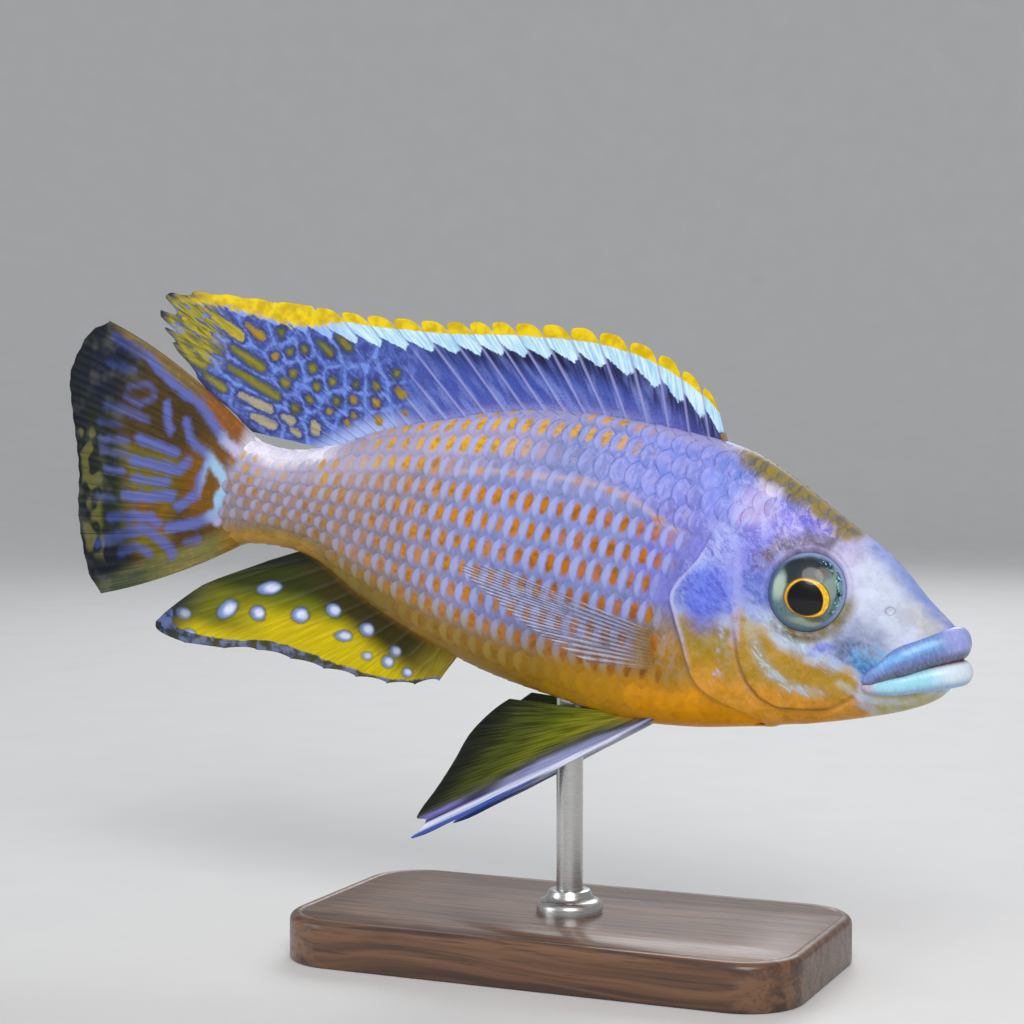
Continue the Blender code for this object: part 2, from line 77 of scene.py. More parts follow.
# Edge of the bone in front of the gill cover, from its top down and forward
CHEEK_EDGE = (
    (33.2, 7.6), (32.4, 3.0), (32.1, -0.2), (31.5, -2.8), (30.4, -6.8), (28.9, -9.8), (26.9, -11.8),
    (24.5, -12.8), (20.9, -12.4), (17.7, -11.7),
)
# Upper edge of the golden cheek: back, level
CHEEK_TOP = ((12.0, -6.8), (15.5, -5.4), (20.0, -4.8), (24.0, -4.0), (28.2, -1.2), (31.8, 0.6))
# Lateral line: back, level
LATERAL_LINE = (
    (20.0, 10.6), (34.0, 9.4), (43.7, 9.8), (48.4, 12.0), (54.9, 13.5), (61.2, 13.6), (67.5, 13.0),
    (73.8, 12.4), (82.0, 10.4), (92.0, 7.0), (104.0, 3.2), (112.0, 1.6), (120.0, 1.2),
)

EYE_AT = (22.6, 4.5)
EYE_RADIUS = (5.35, 5.65)
EYE_PROUD = 0.9
NOSTRIL_AT = (11.0, 3.9)

LIP_CORNER = 13.0
LIP_HALF_WIDTH = 4.4
LIP_ROUNDNESS = 1.95
LIP_STEPS, LIP_ROUND_STEPS = 160, 40
LIP_END = 0.12
# Lips: back from the snout, level, half thickness, half height
UPPER_LIP = (
    (1.9, 0.78, 1.8, 2.4), (5.5, -0.9, 1.9, 2.3), (8.3, -2.6, 1.8, 2.15), (10.6, -4.5, 1.3, 1.45),
    (13.0, -6.7, 0.8, 0.9),
)
LOWER_LIP = (
    (1.0, -3.2, 1.8, 1.9), (5.0, -4.75, 1.6, 1.75), (9.0, -6.35, 1.2, 1.35), (13.0, -7.4, 0.8, 0.85),
)

# Dorsal fin: ray, back of its root, back and level of its tip
DORSAL_RAYS = (
    (0, 39.4, 42.5, 28.1), (1, 42.4, 45.4, 30.4), (3, 48.8, 53.0, 33.9), (5, 55.3, 62.9, 35.4),
    (8, 65.0, 76.7, 34.4), (11, 74.6, 88.3, 32.8), (14, 84.2, 102.4, 31.8), (16, 90.4, 111.9, 31.7),
    (18, 94.0, 122.0, 31.4), (20, 97.2, 134.0, 30.8), (21, 98.8, 140.0, 29.6),
    (22, 100.2, 141.0, 26.0), (23, 101.5, 137.5, 21.6), (24, 102.7, 130.0, 15.8),
    (25, 103.8, 119.5, 10.3),
)
DORSAL_SPINES = 17
# Tips of the other fins: share of the way from the first ray to the last, back, level
ANAL_TIPS = (
    (0.0, 79.5, -21.6), (0.15, 86.5, -23.8), (0.35, 99.0, -24.2), (0.55, 113.0, -24.0),
    (0.7, 124.0, -25.8), (0.8, 133.6, -24.8), (0.9, 126.0, -16.6), (1.0, 113.0, -9.4),
)
ANAL_ROOTS = (76.6, 105.8)
CAUDAL_RAYS = 18
CAUDAL_INSET = 1.4
CAUDAL_TIPS = (
    (0.0, 151.6, 23.4), (0.08, 155.4, 21.2), (0.15, 157.4, 18.0), (0.25, 158.8, 13.4),
    (0.35, 157.8, 9.0), (0.5, 155.4, 2.2), (0.62, 153.9, -3.0), (0.75, 153.0, -9.0),
    (0.87, 150.8, -15.0), (0.95, 148.4, -19.4), (1.0, 145.6, -21.6),
)
CAUDAL_ROOTS = (9.2, -7.8)
CAUDAL_FLESH = (9.3, -7.9)
# Shares of a ray's length where its fleshy root starts to thin, and over which it does
FLESH_START, FLESH_REACH = 0.045, 0.32
PECTORAL_TIPS = (
    (0.0, 66.0, -0.4), (0.2, 73.0, -1.5), (0.45, 67.0, -5.0), (0.7, 60.0, -8.3), (1.0, 51.0, -11.2),
)
PECTORAL_BASE = 42.2
PECTORAL_ROOTS = (-5.2, -10.6)
PECTORAL_FLARE = 4.0
PELVIC_TIPS = (
    (0.0, 61.5, -33.6), (0.2, 76.5, -44.6), (0.4, 76.4, -40.8), (0.6, 73.5, -34.5),
    (0.8, 71.0, -27.6), (1.0, 68.0, -21.0),
)
PELVIC_ROOTS = (42.4, 47.6)
PELVIC_ROOT_BESIDE = (3.8, 2.6)
PELVIC_TIP_BESIDE = (8.0, 4.2)

SIDES = (("right", -1), ("left", 1))


def srgb(red, green, blue):
    """Linear colour of a screen colour."""
    values = np.array([red, green, blue]) / 255
    return np.where(values <= 0.04045, values / 12.92, ((values + 0.055) / 1.055) ** 2.4)


def edge(value, start, end):
    """0 before start, 1 after end, smooth between them."""
    t = np.clip((value - start) / (end - start), 0, 1)
    return t * t * (3 - 2 * t)


def smooth(rows, x):
    """The columns after the first, at x, on a smooth curve through the rows."""
    rows = np.asarray(rows, float)
    x = np.asarray(x, float)
    keys = rows[:, 0]
    i = np.clip(np.searchsorted(keys, x, side="right") - 1, 0, len(keys) - 2)
    low = np.maximum(np.arange(len(keys)) - 1, 0)
    high = np.minimum(np.arange(len(keys)) + 1, len(keys) - 1)
    slope = (rows[high, 1:] - rows[low, 1:]) / (keys[high] - keys[low])[:, None]
    span = (keys[i + 1] - keys[i])[..., None]
    t = np.clip((x[..., None] - keys[i][..., None]) / span, 0, 1)
    start, end = rows[i, 1:], rows[i + 1, 1:]
    return (start + (end - start) * t * t * (3 - 2 * t)
            + slope[i] * span * t * (1 - t) ** 2 - slope[i + 1] * span * t * t * (1 - t))


def curve(rows, x):
    """The second column of rows at x, on a smooth curve."""
    return smooth(rows, x)[..., 0]


def between(ends, q):
    """Value at the share q of the way from one end to the other."""
    return ends[0] + (ends[1] - ends[0]) * q


def place(a, v, w):
    """Point of the row frame, in metres."""
    bend = np.clip(a - BEND_START, 0, None) * BEND_PER_MM
    back = np.minimum(a, BEND_START) + np.sin(bend) / BEND_PER_MM
    x = BODY_CENTRE - back + v * np.sin(bend)
    y = (1 - np.cos(bend)) / BEND_PER_MM + v * np.cos(bend)
    down, level = math.sin(NOSE_DOWN), math.cos(NOSE_DOWN)
    return np.stack([x * level + w * down, y + 0 * x, AXIS_HEIGHT - x * down + w * level], -1) * MM


def section(a):
    """Top, bottom, half width and widest level of the body at a."""
    top, bottom, half = np.moveaxis(smooth(BODY, a), -1, 0)
    return top, bottom, half, bottom + WIDEST_LEVEL * (top - bottom)


def flank(a, w):
    """Half width of the body at a, on the level w."""
    top, bottom, half, widest = section(a)
    reach = np.where(w > widest, top - widest, widest - bottom)
    power = np.where(w > widest, ROOF_POWER, KEEL_POWER)
    return half * np.clip(1 - ((w - widest) / reach) ** 2, 0, None) ** (power / 2)


def belly(a, v):
    """Level of the underside at a, beside the middle by v."""
    _, bottom, half, widest = section(a)
    return widest - (widest - bottom) * np.sqrt(1 - (np.abs(v) / half) ** (2 / KEEL_POWER))


def nearest(line, a, w):
    """Signed distance from a side-view line, positive on its left, and how far along it is."""
    line = np.asarray(line, float)
    best = np.full(np.shape(a), 1e9)
    signed = np.zeros(np.shape(a))
    along = np.zeros(np.shape(a))
    steps = np.hypot(*np.diff(line, axis=0).T)
    passed = np.concatenate([[0], np.cumsum(steps)])
    for i, (start, end) in enumerate(zip(line, line[1:])):
        da, dw = end - start
        t = np.clip(((a - start[0]) * da + (w - start[1]) * dw) / steps[i] ** 2, 0, 1)
        off_a, off_w = a - start[0] - t * da, w - start[1] - t * dw
        distance = np.hypot(off_a, off_w)
        closer = distance < best
        best = np.where(closer, distance, best)
        signed = np.where(closer, distance * np.sign(da * off_w - dw * off_a), signed)
        along = np.where(closer, (passed[i] + t * steps[i]) / passed[-1], along)
    return signed, along


# The half section, worked out once: levels and half widths by a and by share of the way round.
# It runs on over the root of the tail fin, where it spreads and gets thin like the fin.
TAIL_OVERLAP = 4.4
TAIL_SPREAD_UP, TAIL_SPREAD_DOWN = 0.43, 0.5
TAIL_THINS = 10.8
TAIL_THIN_POWER = 1.5
RIM_STEPS = 1500
TABLE_A = np.linspace(BODY[0][0], BODY_END + TAIL_OVERLAP, 434)
TABLE_SHARE = np.linspace(0, 1, 301)


def section_table():
    turn = np.linspace(0, np.pi, RIM_STEPS)
    tables = np.zeros((2, len(TABLE_A), len(TABLE_SHARE)))
    for i, a in enumerate(TABLE_A):
        past = max(a - BODY_END, 0)
        top, bottom, half, _ = section(min(a, BODY_END))
        top, bottom = top + TAIL_SPREAD_UP * past, bottom - TAIL_SPREAD_DOWN * past
        widest = bottom + WIDEST_LEVEL * (top - bottom)
        half = half * (1 - past / TAIL_THINS) ** TAIL_THIN_POWER
        lift = np.cos(turn)
        power = np.where(lift > 0, ROOF_POWER, KEEL_POWER)
        v = half * np.sin(turn).clip(0, 1) ** power
        w = widest + lift * np.where(lift > 0, top - widest, widest - bottom)
        arc = np.concatenate([[0], np.cumsum(np.hypot(np.diff(v), np.diff(w)))])
        tables[0, i] = np.interp(TABLE_SHARE, arc / arc[-1], v)
        tables[1, i] = np.interp(TABLE_SHARE, arc / arc[-1], w)
    return tables


TABLES = section_table()


def around(a, share):
    """Half width and level on the body at a, at a share of the way from the back to the belly."""
    i = np.clip((a - TABLE_A[0]) / (TABLE_A[1] - TABLE_A[0]), 0, len(TABLE_A) - 1.001)
    j = np.clip(share, 0, 1) * (len(TABLE_SHARE) - 1.001)
    i0, j0 = i.astype(int), j.astype(int)
    fi, fj = i - i0, j - j0
    near = TABLES[:, i0, j0] * (1 - fj) + TABLES[:, i0, j0 + 1] * fj
    far = TABLES[:, i0 + 1, j0] * (1 - fj) + TABLES[:, i0 + 1, j0 + 1] * fj
    return near * (1 - fi) + far * fi


def share_at(a, w):
    """Share of the way from the back to the belly at which the body at a reaches the level w."""
    low, high = np.zeros(np.shape(w)), np.ones(np.shape(w))
    for _ in range(24):
        middle = (low + high) / 2
        above = around(a, middle)[1] > w
        low, high = np.where(above, middle, low), np.where(above, high, middle)
    return (low + high) / 2


# Steps to either side of a point that give the body's slope there: back in mm, share of the way round
STEP_BACK = 0.25
STEP_ROUND = 0.004


def body_point(a, share, side):
    """Row-frame point on the body with its normal, v and w. Past the back or belly it folds over."""
    a, share, side = np.broadcast_arrays(*(np.asarray(x, float) for x in (a, share, side)))
    side = np.where((share < 0) | (share > 1), -side, side)
    share = np.where(share > 1, 2 - share, np.abs(share))
    v, w = around(a, share)
    ahead, behind = around(a + STEP_BACK, share), around(a - STEP_BACK, share)
    near, far = np.clip(share - STEP_ROUND, 0, 1), np.clip(share + STEP_ROUND, 0, 1)
    lower, upper = around(a, far), around(a, near)
    along = (place(a + STEP_BACK, side * ahead[0], ahead[1])
             - place(a - STEP_BACK, side * behind[0], behind[1]))
    down = place(a, side * lower[0], lower[1]) - place(a, side * upper[0], upper[1])
    normal = np.cross(down, along) * side[..., None]
    normal /= np.linalg.norm(normal, axis=-1, keepdims=True) + 1e-12
    return place(a, side * v, w), normal, side * v, w


def raised(points, normals, lift):
    """Points moved along their normals by so many mm."""
    return points + normals * np.asarray(lift)[..., None] * MM


class Field:
    """Value worked out by the nodes of a material. Reckoning with it gives a field again."""

    def __init__(self, graph, socket):
        self.graph = graph
        self.socket = socket

    def __add__(self, other):
        return self.graph.math("ADD", self, other)

    def __sub__(self, other):
        return self.graph.math("SUBTRACT", self, other)

    def __rsub__(self, other):
        return self.graph.math("SUBTRACT", other, self)

    def __mul__(self, other):
        return self.graph.math("MULTIPLY", self, other)

    def __truediv__(self, other):
        return self.graph.math("DIVIDE", self, other)

    def __abs__(self):
        return self.graph.math("ABSOLUTE", self)

    __radd__ = __add__
    __rmul__ = __mul__


class Graph:
    """Nodes of one material. Its methods take fields and numbers and give fields."""

    def __init__(self, name):
        self.material = bpy.data.materials.new(name)
        self.material.use_nodes = True
        self.tree = self.material.node_tree
        self.shader = self.tree.nodes["Principled BSDF"]

    def plug(self, value, socket):
        """Gives a socket its value. A colour is three screen values, or four linear ones."""
        if isinstance(value, Field):
            self.tree.links.new(value.socket, socket)
        elif socket.type == "RGBA" and len(value) == 3:
            socket.default_value = (*srgb(*value), 1.0)
        else:
            socket.default_value = value

    def outputs(self, kind, inputs, **settings):
        node = self.tree.nodes.new(kind)
        for key, value in settings.items():
            setattr(node, key, value)
        for key, value in inputs.items():
            self.plug(value, node.inputs[key])
        return node.outputs

    def node(self, kind, inputs, output=0, **settings):
        return Field(self, self.outputs(kind, inputs, **settings)[output])

    def number(self, name):
        return self.node("ShaderNodeAttribute", {}, "Fac", attribute_name=name)

    def triple(self, name):
        return self.node("ShaderNodeAttribute", {}, "Vector", attribute_name=name)

    def colour(self, name):
        return self.node("ShaderNodeAttribute", {}, "Color", attribute_name=name)

    def parts(self, vector):
        return [Field(self, socket) for socket in self.outputs("ShaderNodeSeparateXYZ", {0: vector})]

    def vector(self, x, y, z):
        return self.node("ShaderNodeCombineXYZ", {0: x, 1: y, 2: z})

    def math(self, operation, *values):
        return self.node("ShaderNodeMath", dict(enumerate(values)), operation=operation)

    def fraction(self, value):
        return self.math("FRACT", value)

    def most(self, first, second):
        return self.math("MAXIMUM", first, second)

    def scaled(self, vector, factors):
        return self.node("ShaderNodeVectorMath", {0: vector, 1: factors}, operation="MULTIPLY")

    def moved(self, vector, shift):
        return self.node("ShaderNodeVectorMath", {0: vector, 1: shift}, operation="ADD")

    def oval(self, x, y, centre=(0.0, 0.0), radii=(1.0, 1.0)):
        """Distance from the middle of an ellipse, 1 on it."""
        flat = self.vector(x - centre[0], y - centre[1], 0.0)
        unit = self.scaled(flat, (1 / radii[0], 1 / radii[1], 1.0))
        return self.node("ShaderNodeVectorMath", {0: unit}, 1, operation="LENGTH")

    def step(self, value, start, end, low=0.0, high=1.0):
        return self.node("ShaderNodeMapRange", {0: value, 1: start, 2: end, 3: low, 4: high},
                         interpolation_type="SMOOTHSTEP")

    def noise(self, vector, scale, detail=2.0, roughness=0.5, distortion=0.0):
        inputs = {"Vector": vector, "Scale": scale, "Detail": detail, "Roughness": roughness,
                  "Distortion": distortion}
        return self.node("ShaderNodeTexNoise", inputs)

    def mix(self, amount, first, second, blend="MIX"):
        return self.node("ShaderNodeMix", {0: amount, 6: first, 7: second}, 2, data_type="RGBA",
                         blend_type=blend)

    def tinted(self, colour, factors):
        return self.mix(1.0, colour, (*factors, 1.0), "MULTIPLY")

    def layers(self, colour, rows):
        """The colour with rows of an amount, a colour and maybe a blend laid over it, one by one."""
        for amount, *tint in rows:
            colour = self.mix(amount, colour, *tint)
        return colour

    def finish(self, colour, roughness, relief=None, coat=(0.0, 0.03), specular=0.5, **others):
        """The material. relief is a bump's height, strength and distance, coat a weight and roughness."""
        values = {"Base Color": colour, "Roughness": roughness, "Coat Weight": coat[0],
                  "Coat Roughness": coat[1], "Specular IOR Level": specular, **others}
        if relief:
            inputs = dict(zip(("Height", "Strength", "Distance"), relief))
            values["Normal"] = self.node("ShaderNodeBump", inputs)
        for name, value in values.items():
            self.plug(value, self.shader.inputs[name])
        return self.material


def add_piece(name, points, faces, material, attributes, replaced, sharp=None):
    """Mesh object with its attributes, riding on the body in place of the replaced nodes."""
    mesh = bpy.data.meshes.new(name)
    mesh.from_pydata(points.reshape(-1, 3).tolist(), [], faces)
    for key, values in attributes.items():
        values = np.asarray(values, float)
        if values.ndim > 1 and values.shape[-1] == 3:
            layer = mesh.attributes.new(key, "FLOAT_VECTOR", "POINT")
            layer.data.foreach_set("vector", values.reshape(-1))
        else:
            layer = mesh.attributes.new(key, "FLOAT", "POINT")
            layer.data.foreach_set("value", values.reshape(-1))
    mesh.materials.append(material)
    shell = bmesh.new()
    shell.from_mesh(mesh)
    if shell.calc_volume(signed=True) < 0:
        mesh.flip_normals()
    shell.free()
    mesh.shade_smooth()
    if sharp:
        mesh.set_sharp_from_angle(angle=math.radians(sharp))
    obj = bpy.data.objects.new(name, mesh)
    bpy.context.scene.collection.objects.link(obj)
    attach(obj, "root")
    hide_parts(*replaced)
    return obj


def add_uv(obj, coordinates):
    """UV map for baking, from one coordinate pair a vertex."""
    layer = obj.data.uv_layers.new(name="OFBake")
    corners = np.zeros(len(obj.data.loops), int)
    obj.data.loops.foreach_get("vertex_index", corners)
    layer.data.foreach_set("uv", np.asarray(coordinates, float).reshape(-1, 2)[corners].ravel())


def quads(rows, columns, wrap=False):
    """Faces of a grid of points, wrapped round its columns if asked."""
    i, j = np.meshgrid(np.arange(rows - 1), np.arange(columns if wrap else columns - 1), indexing="ij")
    k = (j + 1) % columns
    faces = np.stack([i * columns + j, i * columns + k, (i + 1) * columns + k, (i + 1) * columns + j], -1)
    return faces.reshape(-1, 4).tolist()


def tube(rows, columns):
    """Faces of a grid wrapped round its columns and closed at both ends."""
    last = (rows - 1) * columns
    ends = [list(range(columns))[::-1], list(range(last, last + columns))]
    return quads(rows, columns, wrap=True) + ends


def border(grid):
    """Numbers of the points round a grid, in order."""
    return np.concatenate([grid[0, :-1], grid[:-1, -1], grid[-1, :0:-1], grid[:0:-1, 0]])


def lateral_level(a):
    """Level of the lateral line."""
    return curve(LATERAL_LINE, a)


def gill_edge(w):
    """Distance back of the gill cover's rear edge."""
    return curve(GILL_EDGE, w)


def ellipse(a, w, centre, radii, turn=0.0):
    """Distance from the middle of a turned ellipse, 1 on it."""
    c, s = math.cos(math.radians(turn)), math.sin(math.radians(turn))
    da, dw = a - centre[0], w - centre[1]
    return np.hypot((da * c + dw * s) / radii[0], (dw * c - da * s) / radii[1])


def patch(a, w, centre, radii, turn=0.0, soft=0.5):
    """1 in the middle of an ellipse, falling to 0 past its edge."""
    return edge(ellipse(a, w, centre, radii, turn), 1 + soft, 1 - soft)


def patches(rows, a, w):
    """Sum of patches, each an amount, a middle and radii."""
    return sum(amount * patch(a, w, centre, radii) for amount, centre, radii in rows)


def stroke(line, a, w, width):
    """1 along a side-view line, falling to 0 at its width."""
    return edge(np.abs(nearest(line, a, w)[0]), width, 0.15 * width)


def lay(colour, tint, mask):
    """Lays a screen colour over linear colours, as far as the mask says."""
    colour += (srgb(*tint) - colour) * mask[..., None]


def washed(base, washes):
    """Linear colours of a base with washes of a screen colour and a mask over it."""
    colour = np.broadcast_to(srgb(*base), (*washes[0][1].shape, 3)).copy()
    for tint, mask in washes:
        lay(colour, tint, mask)
    return colour


def drift(a, w, phase):
    """Uneven shift of a place on the skin, in mm."""
    slow = np.sin(1.1 * a + 0.7 * w + phase) * np.sin(0.9 * w - 0.5 * a + 2.1 * phase)
    quick = np.sin(2.6 * a - 1.7 * w + 3.3 * phase) * np.sin(2.9 * w + 1.3 * a + phase)
    quicker = np.sin(5.3 * a + 4.1 * w + 1.7 * phase) * np.sin(4.7 * w - 3.9 * a + 0.4 * phase)
    return 0.8 * slow + 0.45 * quick + 0.15 * quicker


# Level of the top of the golden belly over the underside: back, height
BELLY_TOP = (
    (25.0, 4.0), (42.0, 8.5), (52.0, 8.6), (62.0, 8.0), (76.0, 6.8), (90.0, 5.0), (104.0, 2.6),
    (120.0, 1.8),
)
ORANGE_SPOTS = (45.5, 50.8, 53.4, 58.5, 66.8, 69.4, 74.9)
# Edge of the olive nape, from its rear end to the front
NAPE_LINE = (
    (35.8, 19.8), (33.4, 18.3), (30.7, 17.6), (27.1, 15.9), (23.5, 14.6), (20.3, 12.4), (17.0, 12.9),
)
# Streaks of shining flecks: amount, width, side-view line
STREAKS = (
    (0.8, 2.1, ((31.6, 3.4), (29.6, 0.8), (26.2, -1.5), (23.8, -3.4), (20.5, -3.8), (17.4, -5.0))),
    (0.9, 1.3, ((28.2, -4.2), (27.3, -5.9), (25.9, -7.6), (23.4, -9.2), (19.0, -9.6))),
    (0.9, 0.8, ((14.8, -8.4), (11.5, -9.1), (8.0, -8.7))),
    (0.6, 0.8, ((33.4, -2.4), (33.0, -5.6), (33.2, -9.4))),
    (0.6, 1.6, ((33.9, 9.4), (33.0, 6.0), (32.2, 2.0))),
)
# Patches of streaked flecks and of cloudy ones: amount, middle, radii
CLOUDY_PATCHES = ((0.5, (34.5, 8), (6, 10)), (0.4, (12, -3.4), (3.4, 2.4)))
STREAKED_PATCHES = (
    (0.8, (33.2, -9.6), (0.9, 0.8)), (0.65, (35.6, 2.8), (4.2, 5.0)), (0.45, (30.0, 12.0), (8.0, 4.4)),
    (0.6, (12.2, -3.0), (2.6, 1.8)), (0.4, (40.5, 6), (5, 8)),
)


def body_paint(a, w, golden):
    """Colour of the body behind the gill cover, golden as far as told."""
    top, bottom, _, _ = section(a)
    above = w - lateral_level(a)
    rise = w - bottom
    return washed((132, 143, 199), (
        ((136, 128, 142), edge(a, 66, 92)),
        ((168, 160, 192), edge(a, 60, 74) * edge(above, 0, 4)),
        ((122, 139, 224), edge(a, 64, 46) * edge(above, -3, 3)),
        ((124, 126, 212), patch(a, w, (42, 5), (6, 9))),
        ((232, 228, 244), edge(top - w, 3.8, 2.0) * edge(a, 99, 105)),
        ((164, 162, 204), edge(top - w, 2.0, 0.4) * edge(a, 98, 90)),
        ((152, 114, 8), golden),
        ((196, 142, 0), golden * edge(a, 68, 50)),
        ((236, 158, 0), golden * edge(a, 52, 42)),
        ((126, 104, 26), golden * edge(a, 78, 96)),
        ((172, 130, 44), edge(rise, 3.2, 1.6) * edge(a, 98, 106)),
        ((150, 130, 62), patch(a, w, (42.6, -5.4), (4.6, 3.4), 20) * 0.7),
        ((172, 128, 16), patch(a, w, (40.6, -9.2), (3.8, 4.4)) * edge(above, 2, 0)),
        ((206, 184, 186), edge(np.abs(above), 0.7, 0.1) * edge(a, 39, 44) * edge(a, 86, 72) * 0.75),
        *(((204, 140, 40), patch(a, w, (at, curve(LATERAL_LINE, at)), (0.9, 0.55), -20) * 0.9)
          for at in ORANGE_SPOTS),
    ))


def face_paint(true_a, true_w):
    """Colour of the head, and how far its cheek and its gill cover are golden."""
    top = section(true_a)[0]
    above = true_w - lateral_level(true_a)
    behind_gill = true_a - gill_edge(true_w)
    a = true_a + 0.8 * drift(true_a, true_w, 0.4)
    w = true_w + 0.6 * drift(true_a, true_w, 2.0)
    turned = np.degrees(np.arctan2(true_w - EYE_AT[1], EYE_AT[0] - true_a))
    # Ring just outside the eye, for the painted shade under it
    shade_round_eye = edge(ellipse(true_a, true_w, EYE_AT, EYE_RADIUS), 1.46, 1.12)
    cheek_top = curve(CHEEK_TOP, a)
    cheek = edge(w, cheek_top + 1.4, cheek_top - 1.0) * edge(a, 12.4, 14.4) * edge(a, 32.4, 31.6)
    cover_gold = edge(w, -0.8, -3.0) * edge(a, 31.4, 32.4)
    face = washed((200, 210, 232), (
        ((138, 158, 222), edge(top - true_w, 2.4, 0.1) * edge(true_a, 22, 15)),
        ((190, 184, 220), edge(a, 14.5, 19.0) * edge(w, -1.0, 3.0)),
        ((196, 196, 196), patch(a, w, (6.2, 2.8), (3.2, 1.5), 30, 0.8) * 0.8),
        ((94, 112, 198), edge(a, 24.0, 29.5) * edge(w, -2.5, 2.0)),
        ((116, 112, 222), patch(a, w, (27, 13), (7.5, 2.8), -8, 0.7)),
        ((178, 162, 226), patch(a, w, (33, 14.5), (3.6, 3.0))),
        ((226, 210, 244), patch(a, w, (31.2, 17.3), (1.7, 1.0), 30)),
        ((84, 66, 80), stroke(((29.4, 7.8), (28.4, 9.2), (26.9, 10.4), (24.3, 11.3), (21.4, 11.5)),
                              a, w, 2.4) * 0.8),
        ((108, 86, 62), patch(a, w, (28.8, 8.6), (1.5, 1.1), -30)),
        ((132, 140, 176), patch(a, w, (14.2, -1.6), (4.4, 2.8), 25, 0.8) * 0.9),
        ((84, 98, 136), patch(a, w, (15.4, -2.8), (2.4, 1.7), 20, 0.7) * 0.9),
        ((70, 116, 184), patch(a, w, (12.9, -4.4), (2.4, 1.3), 25, 0.7)),
        ((184, 142, 14), cheek),
        ((160, 134, 14), cover_gold),
        ((176, 180, 170), stroke(((29.4, -1.6), (27.6, -5.6), (25.6, -7.9), (23.0, -9.3), (18.4, -9.8)),
                                 true_a, true_w, 1.6) * 0.5),
        ((176, 190, 216), stroke(((30.4, 1.6), (27.4, -0.8), (24.2, -3.0), (20.5, -3.9), (17.2, -4.8)),
                                 true_a, true_w, 2.0) * 0.4),
        ((200, 146, 4), cover_gold * edge(w, -5, -9)),
        # Painted shade: an olive and brown crescent in the fold under the proud eye
        ((130, 120, 62), shade_round_eye * edge(turned, 14, -12) * edge(turned, -92, -60)),
        ((118, 96, 36), shade_round_eye * edge(turned, -52, -80) * edge(turned, -140, -112)),
        ((134, 144, 230), patch(a, w, (19.0, -3.0), (1.9, 1.0), -10)),
        ((222, 152, 0), edge(w, -8.6, -11.4) * edge(a, 11.2, 12.4)),
        ((186, 176, 104), edge(w, -5.6, -7.0) * edge(a, 12.4, 10.8)),
        ((206, 210, 190), stroke(((16.0, -7.4), (13.0, -8.7), (10.0, -8.9), (6.0, -8.0)),
                                 true_a, true_w, 1.0) * 0.6),
        ((88, 98, 212), patch(a, w, (36.4, 2.4), (4.0, 5.2))),
        ((118, 112, 214), patch(a, w, (34.5, 8.0), (4.5, 3.0))),
        # Painted highlight along the raised front of the edge of the bone before the gill cover: lilac
        # above, light gold below
        ((186, 182, 240), stroke(((33.4, 8.8), (32.3, 4.6), (31.6, 0.0), (31.2, -4.6)),
                                 true_a, true_w, 1.0) * 0.6),
        ((214, 160, 70), stroke(((31.2, -4.6), (30.1, -8.6), (28.2, -11.4)), true_a, true_w, 0.8) * 0.6),
        # Painted shade in the groove behind the edge of that bone
        ((120, 72, 10), stroke(CHEEK_EDGE, true_a, true_w, 0.5) * edge(true_w, 0.0, -3.0) * 0.6),
        ((200, 194, 236), edge(behind_gill, -0.9, -0.3) * edge(above, 0, -4) * edge(w, -11, -4) * 0.7),
    ))
    return face, cheek, cover_gold


def paint(true_a, true_w):
    """Ground colour, colour of the shining flecks, their three amounts, and the sheen of the scales.

    The amounts are those of cloudy, streaked and fine flecks.
    """
    above = true_w - lateral_level(true_a)
    rise = true_w - section(true_a)[1]
    behind_gill = true_a - gill_edge(true_w)
    head = edge(behind_gill, 0.3, -0.3) * edge(above, 3.0, 1.0)
    head = np.clip(head + edge(true_a, 37, 33) * edge(above, 1, 3), 0, 1)
    belly_top = curve(BELLY_TOP, true_a)
    golden = edge(rise, belly_top + 4.0, belly_top - 2.6)
    a = true_a + 0.5 * drift(true_a, true_w, 1.2)
    w = true_w + 0.5 * drift(true_a, true_w, 3.0)
    nape = edge(nearest(NAPE_LINE, a, w)[0], 0.9, -0.8) * edge(a, 16.6, 18.4) * edge(a, 39.5, 35.5)
    body = body_paint(true_a, true_w, golden)
    face, cheek, cover_gold = face_paint(true_a, true_w)
    ground = body + (face - body) * head[..., None]
    lay(ground, (126, 116, 62), 0.85 * nape)
    fleck = washed((168, 176, 232), (
        ((164, 158, 190), edge(a, 72, 96)),
        ((182, 196, 246), head),
        ((188, 218, 240), patch(a, w, (25, -4), (8, 5), 40) * head),
        ((118, 140, 238), patch(a, w, (36.2, 1.4), (3.6, 4.5)) * head),
        ((150, 158, 240), patch(a, w, (30.5, 6.5), (4.0, 6.0)) * head),
        ((208, 198, 242), edge(a, 34, 24) * edge(w, 8, 11)),
        ((110, 186, 232), patch(a, w, (12, -3.4), (3.4, 2.4))),
        ((160, 148, 84), golden * (1 - head)),
        ((158, 136, 46), nape),
        ((168, 166, 236), (1 - head) * edge(a, 60, 44) * edge(above, -3, 3) * (1 - nape)),
    ))
    bare = 1 - 0.8 * patch(a, w, (9, 5), (8, 5))
    sheen = 0.2 + 0.45 * edge(above, -2, 3) * edge(a, 70, 50) + 0.3 * nape - 0.15 * golden
    cloudy = 0.25 - 0.2 * np.clip(cheek + cover_gold, 0, 1) + patches(CLOUDY_PATCHES, true_a, true_w)
    streaked = patches(STREAKED_PATCHES, true_a, true_w)
    for amount, width, line in STREAKS:
        streaked = streaked + amount * stroke(line, true_a, true_w, width)
    fine = 0.55 * patch(true_a, true_w, (32, 10), (8, 6)) + 0.25 * cheek
    low = 1 - 0.9 * edge(true_w, -10.5, -12.5)
    flecks = np.stack([cloudy * bare, streaked * low, fine], -1)
    return ground, fleck, np.clip(flecks, 0, 1), np.clip(sheen, 0, 1)


SOCKET_DEPTH = 1.1
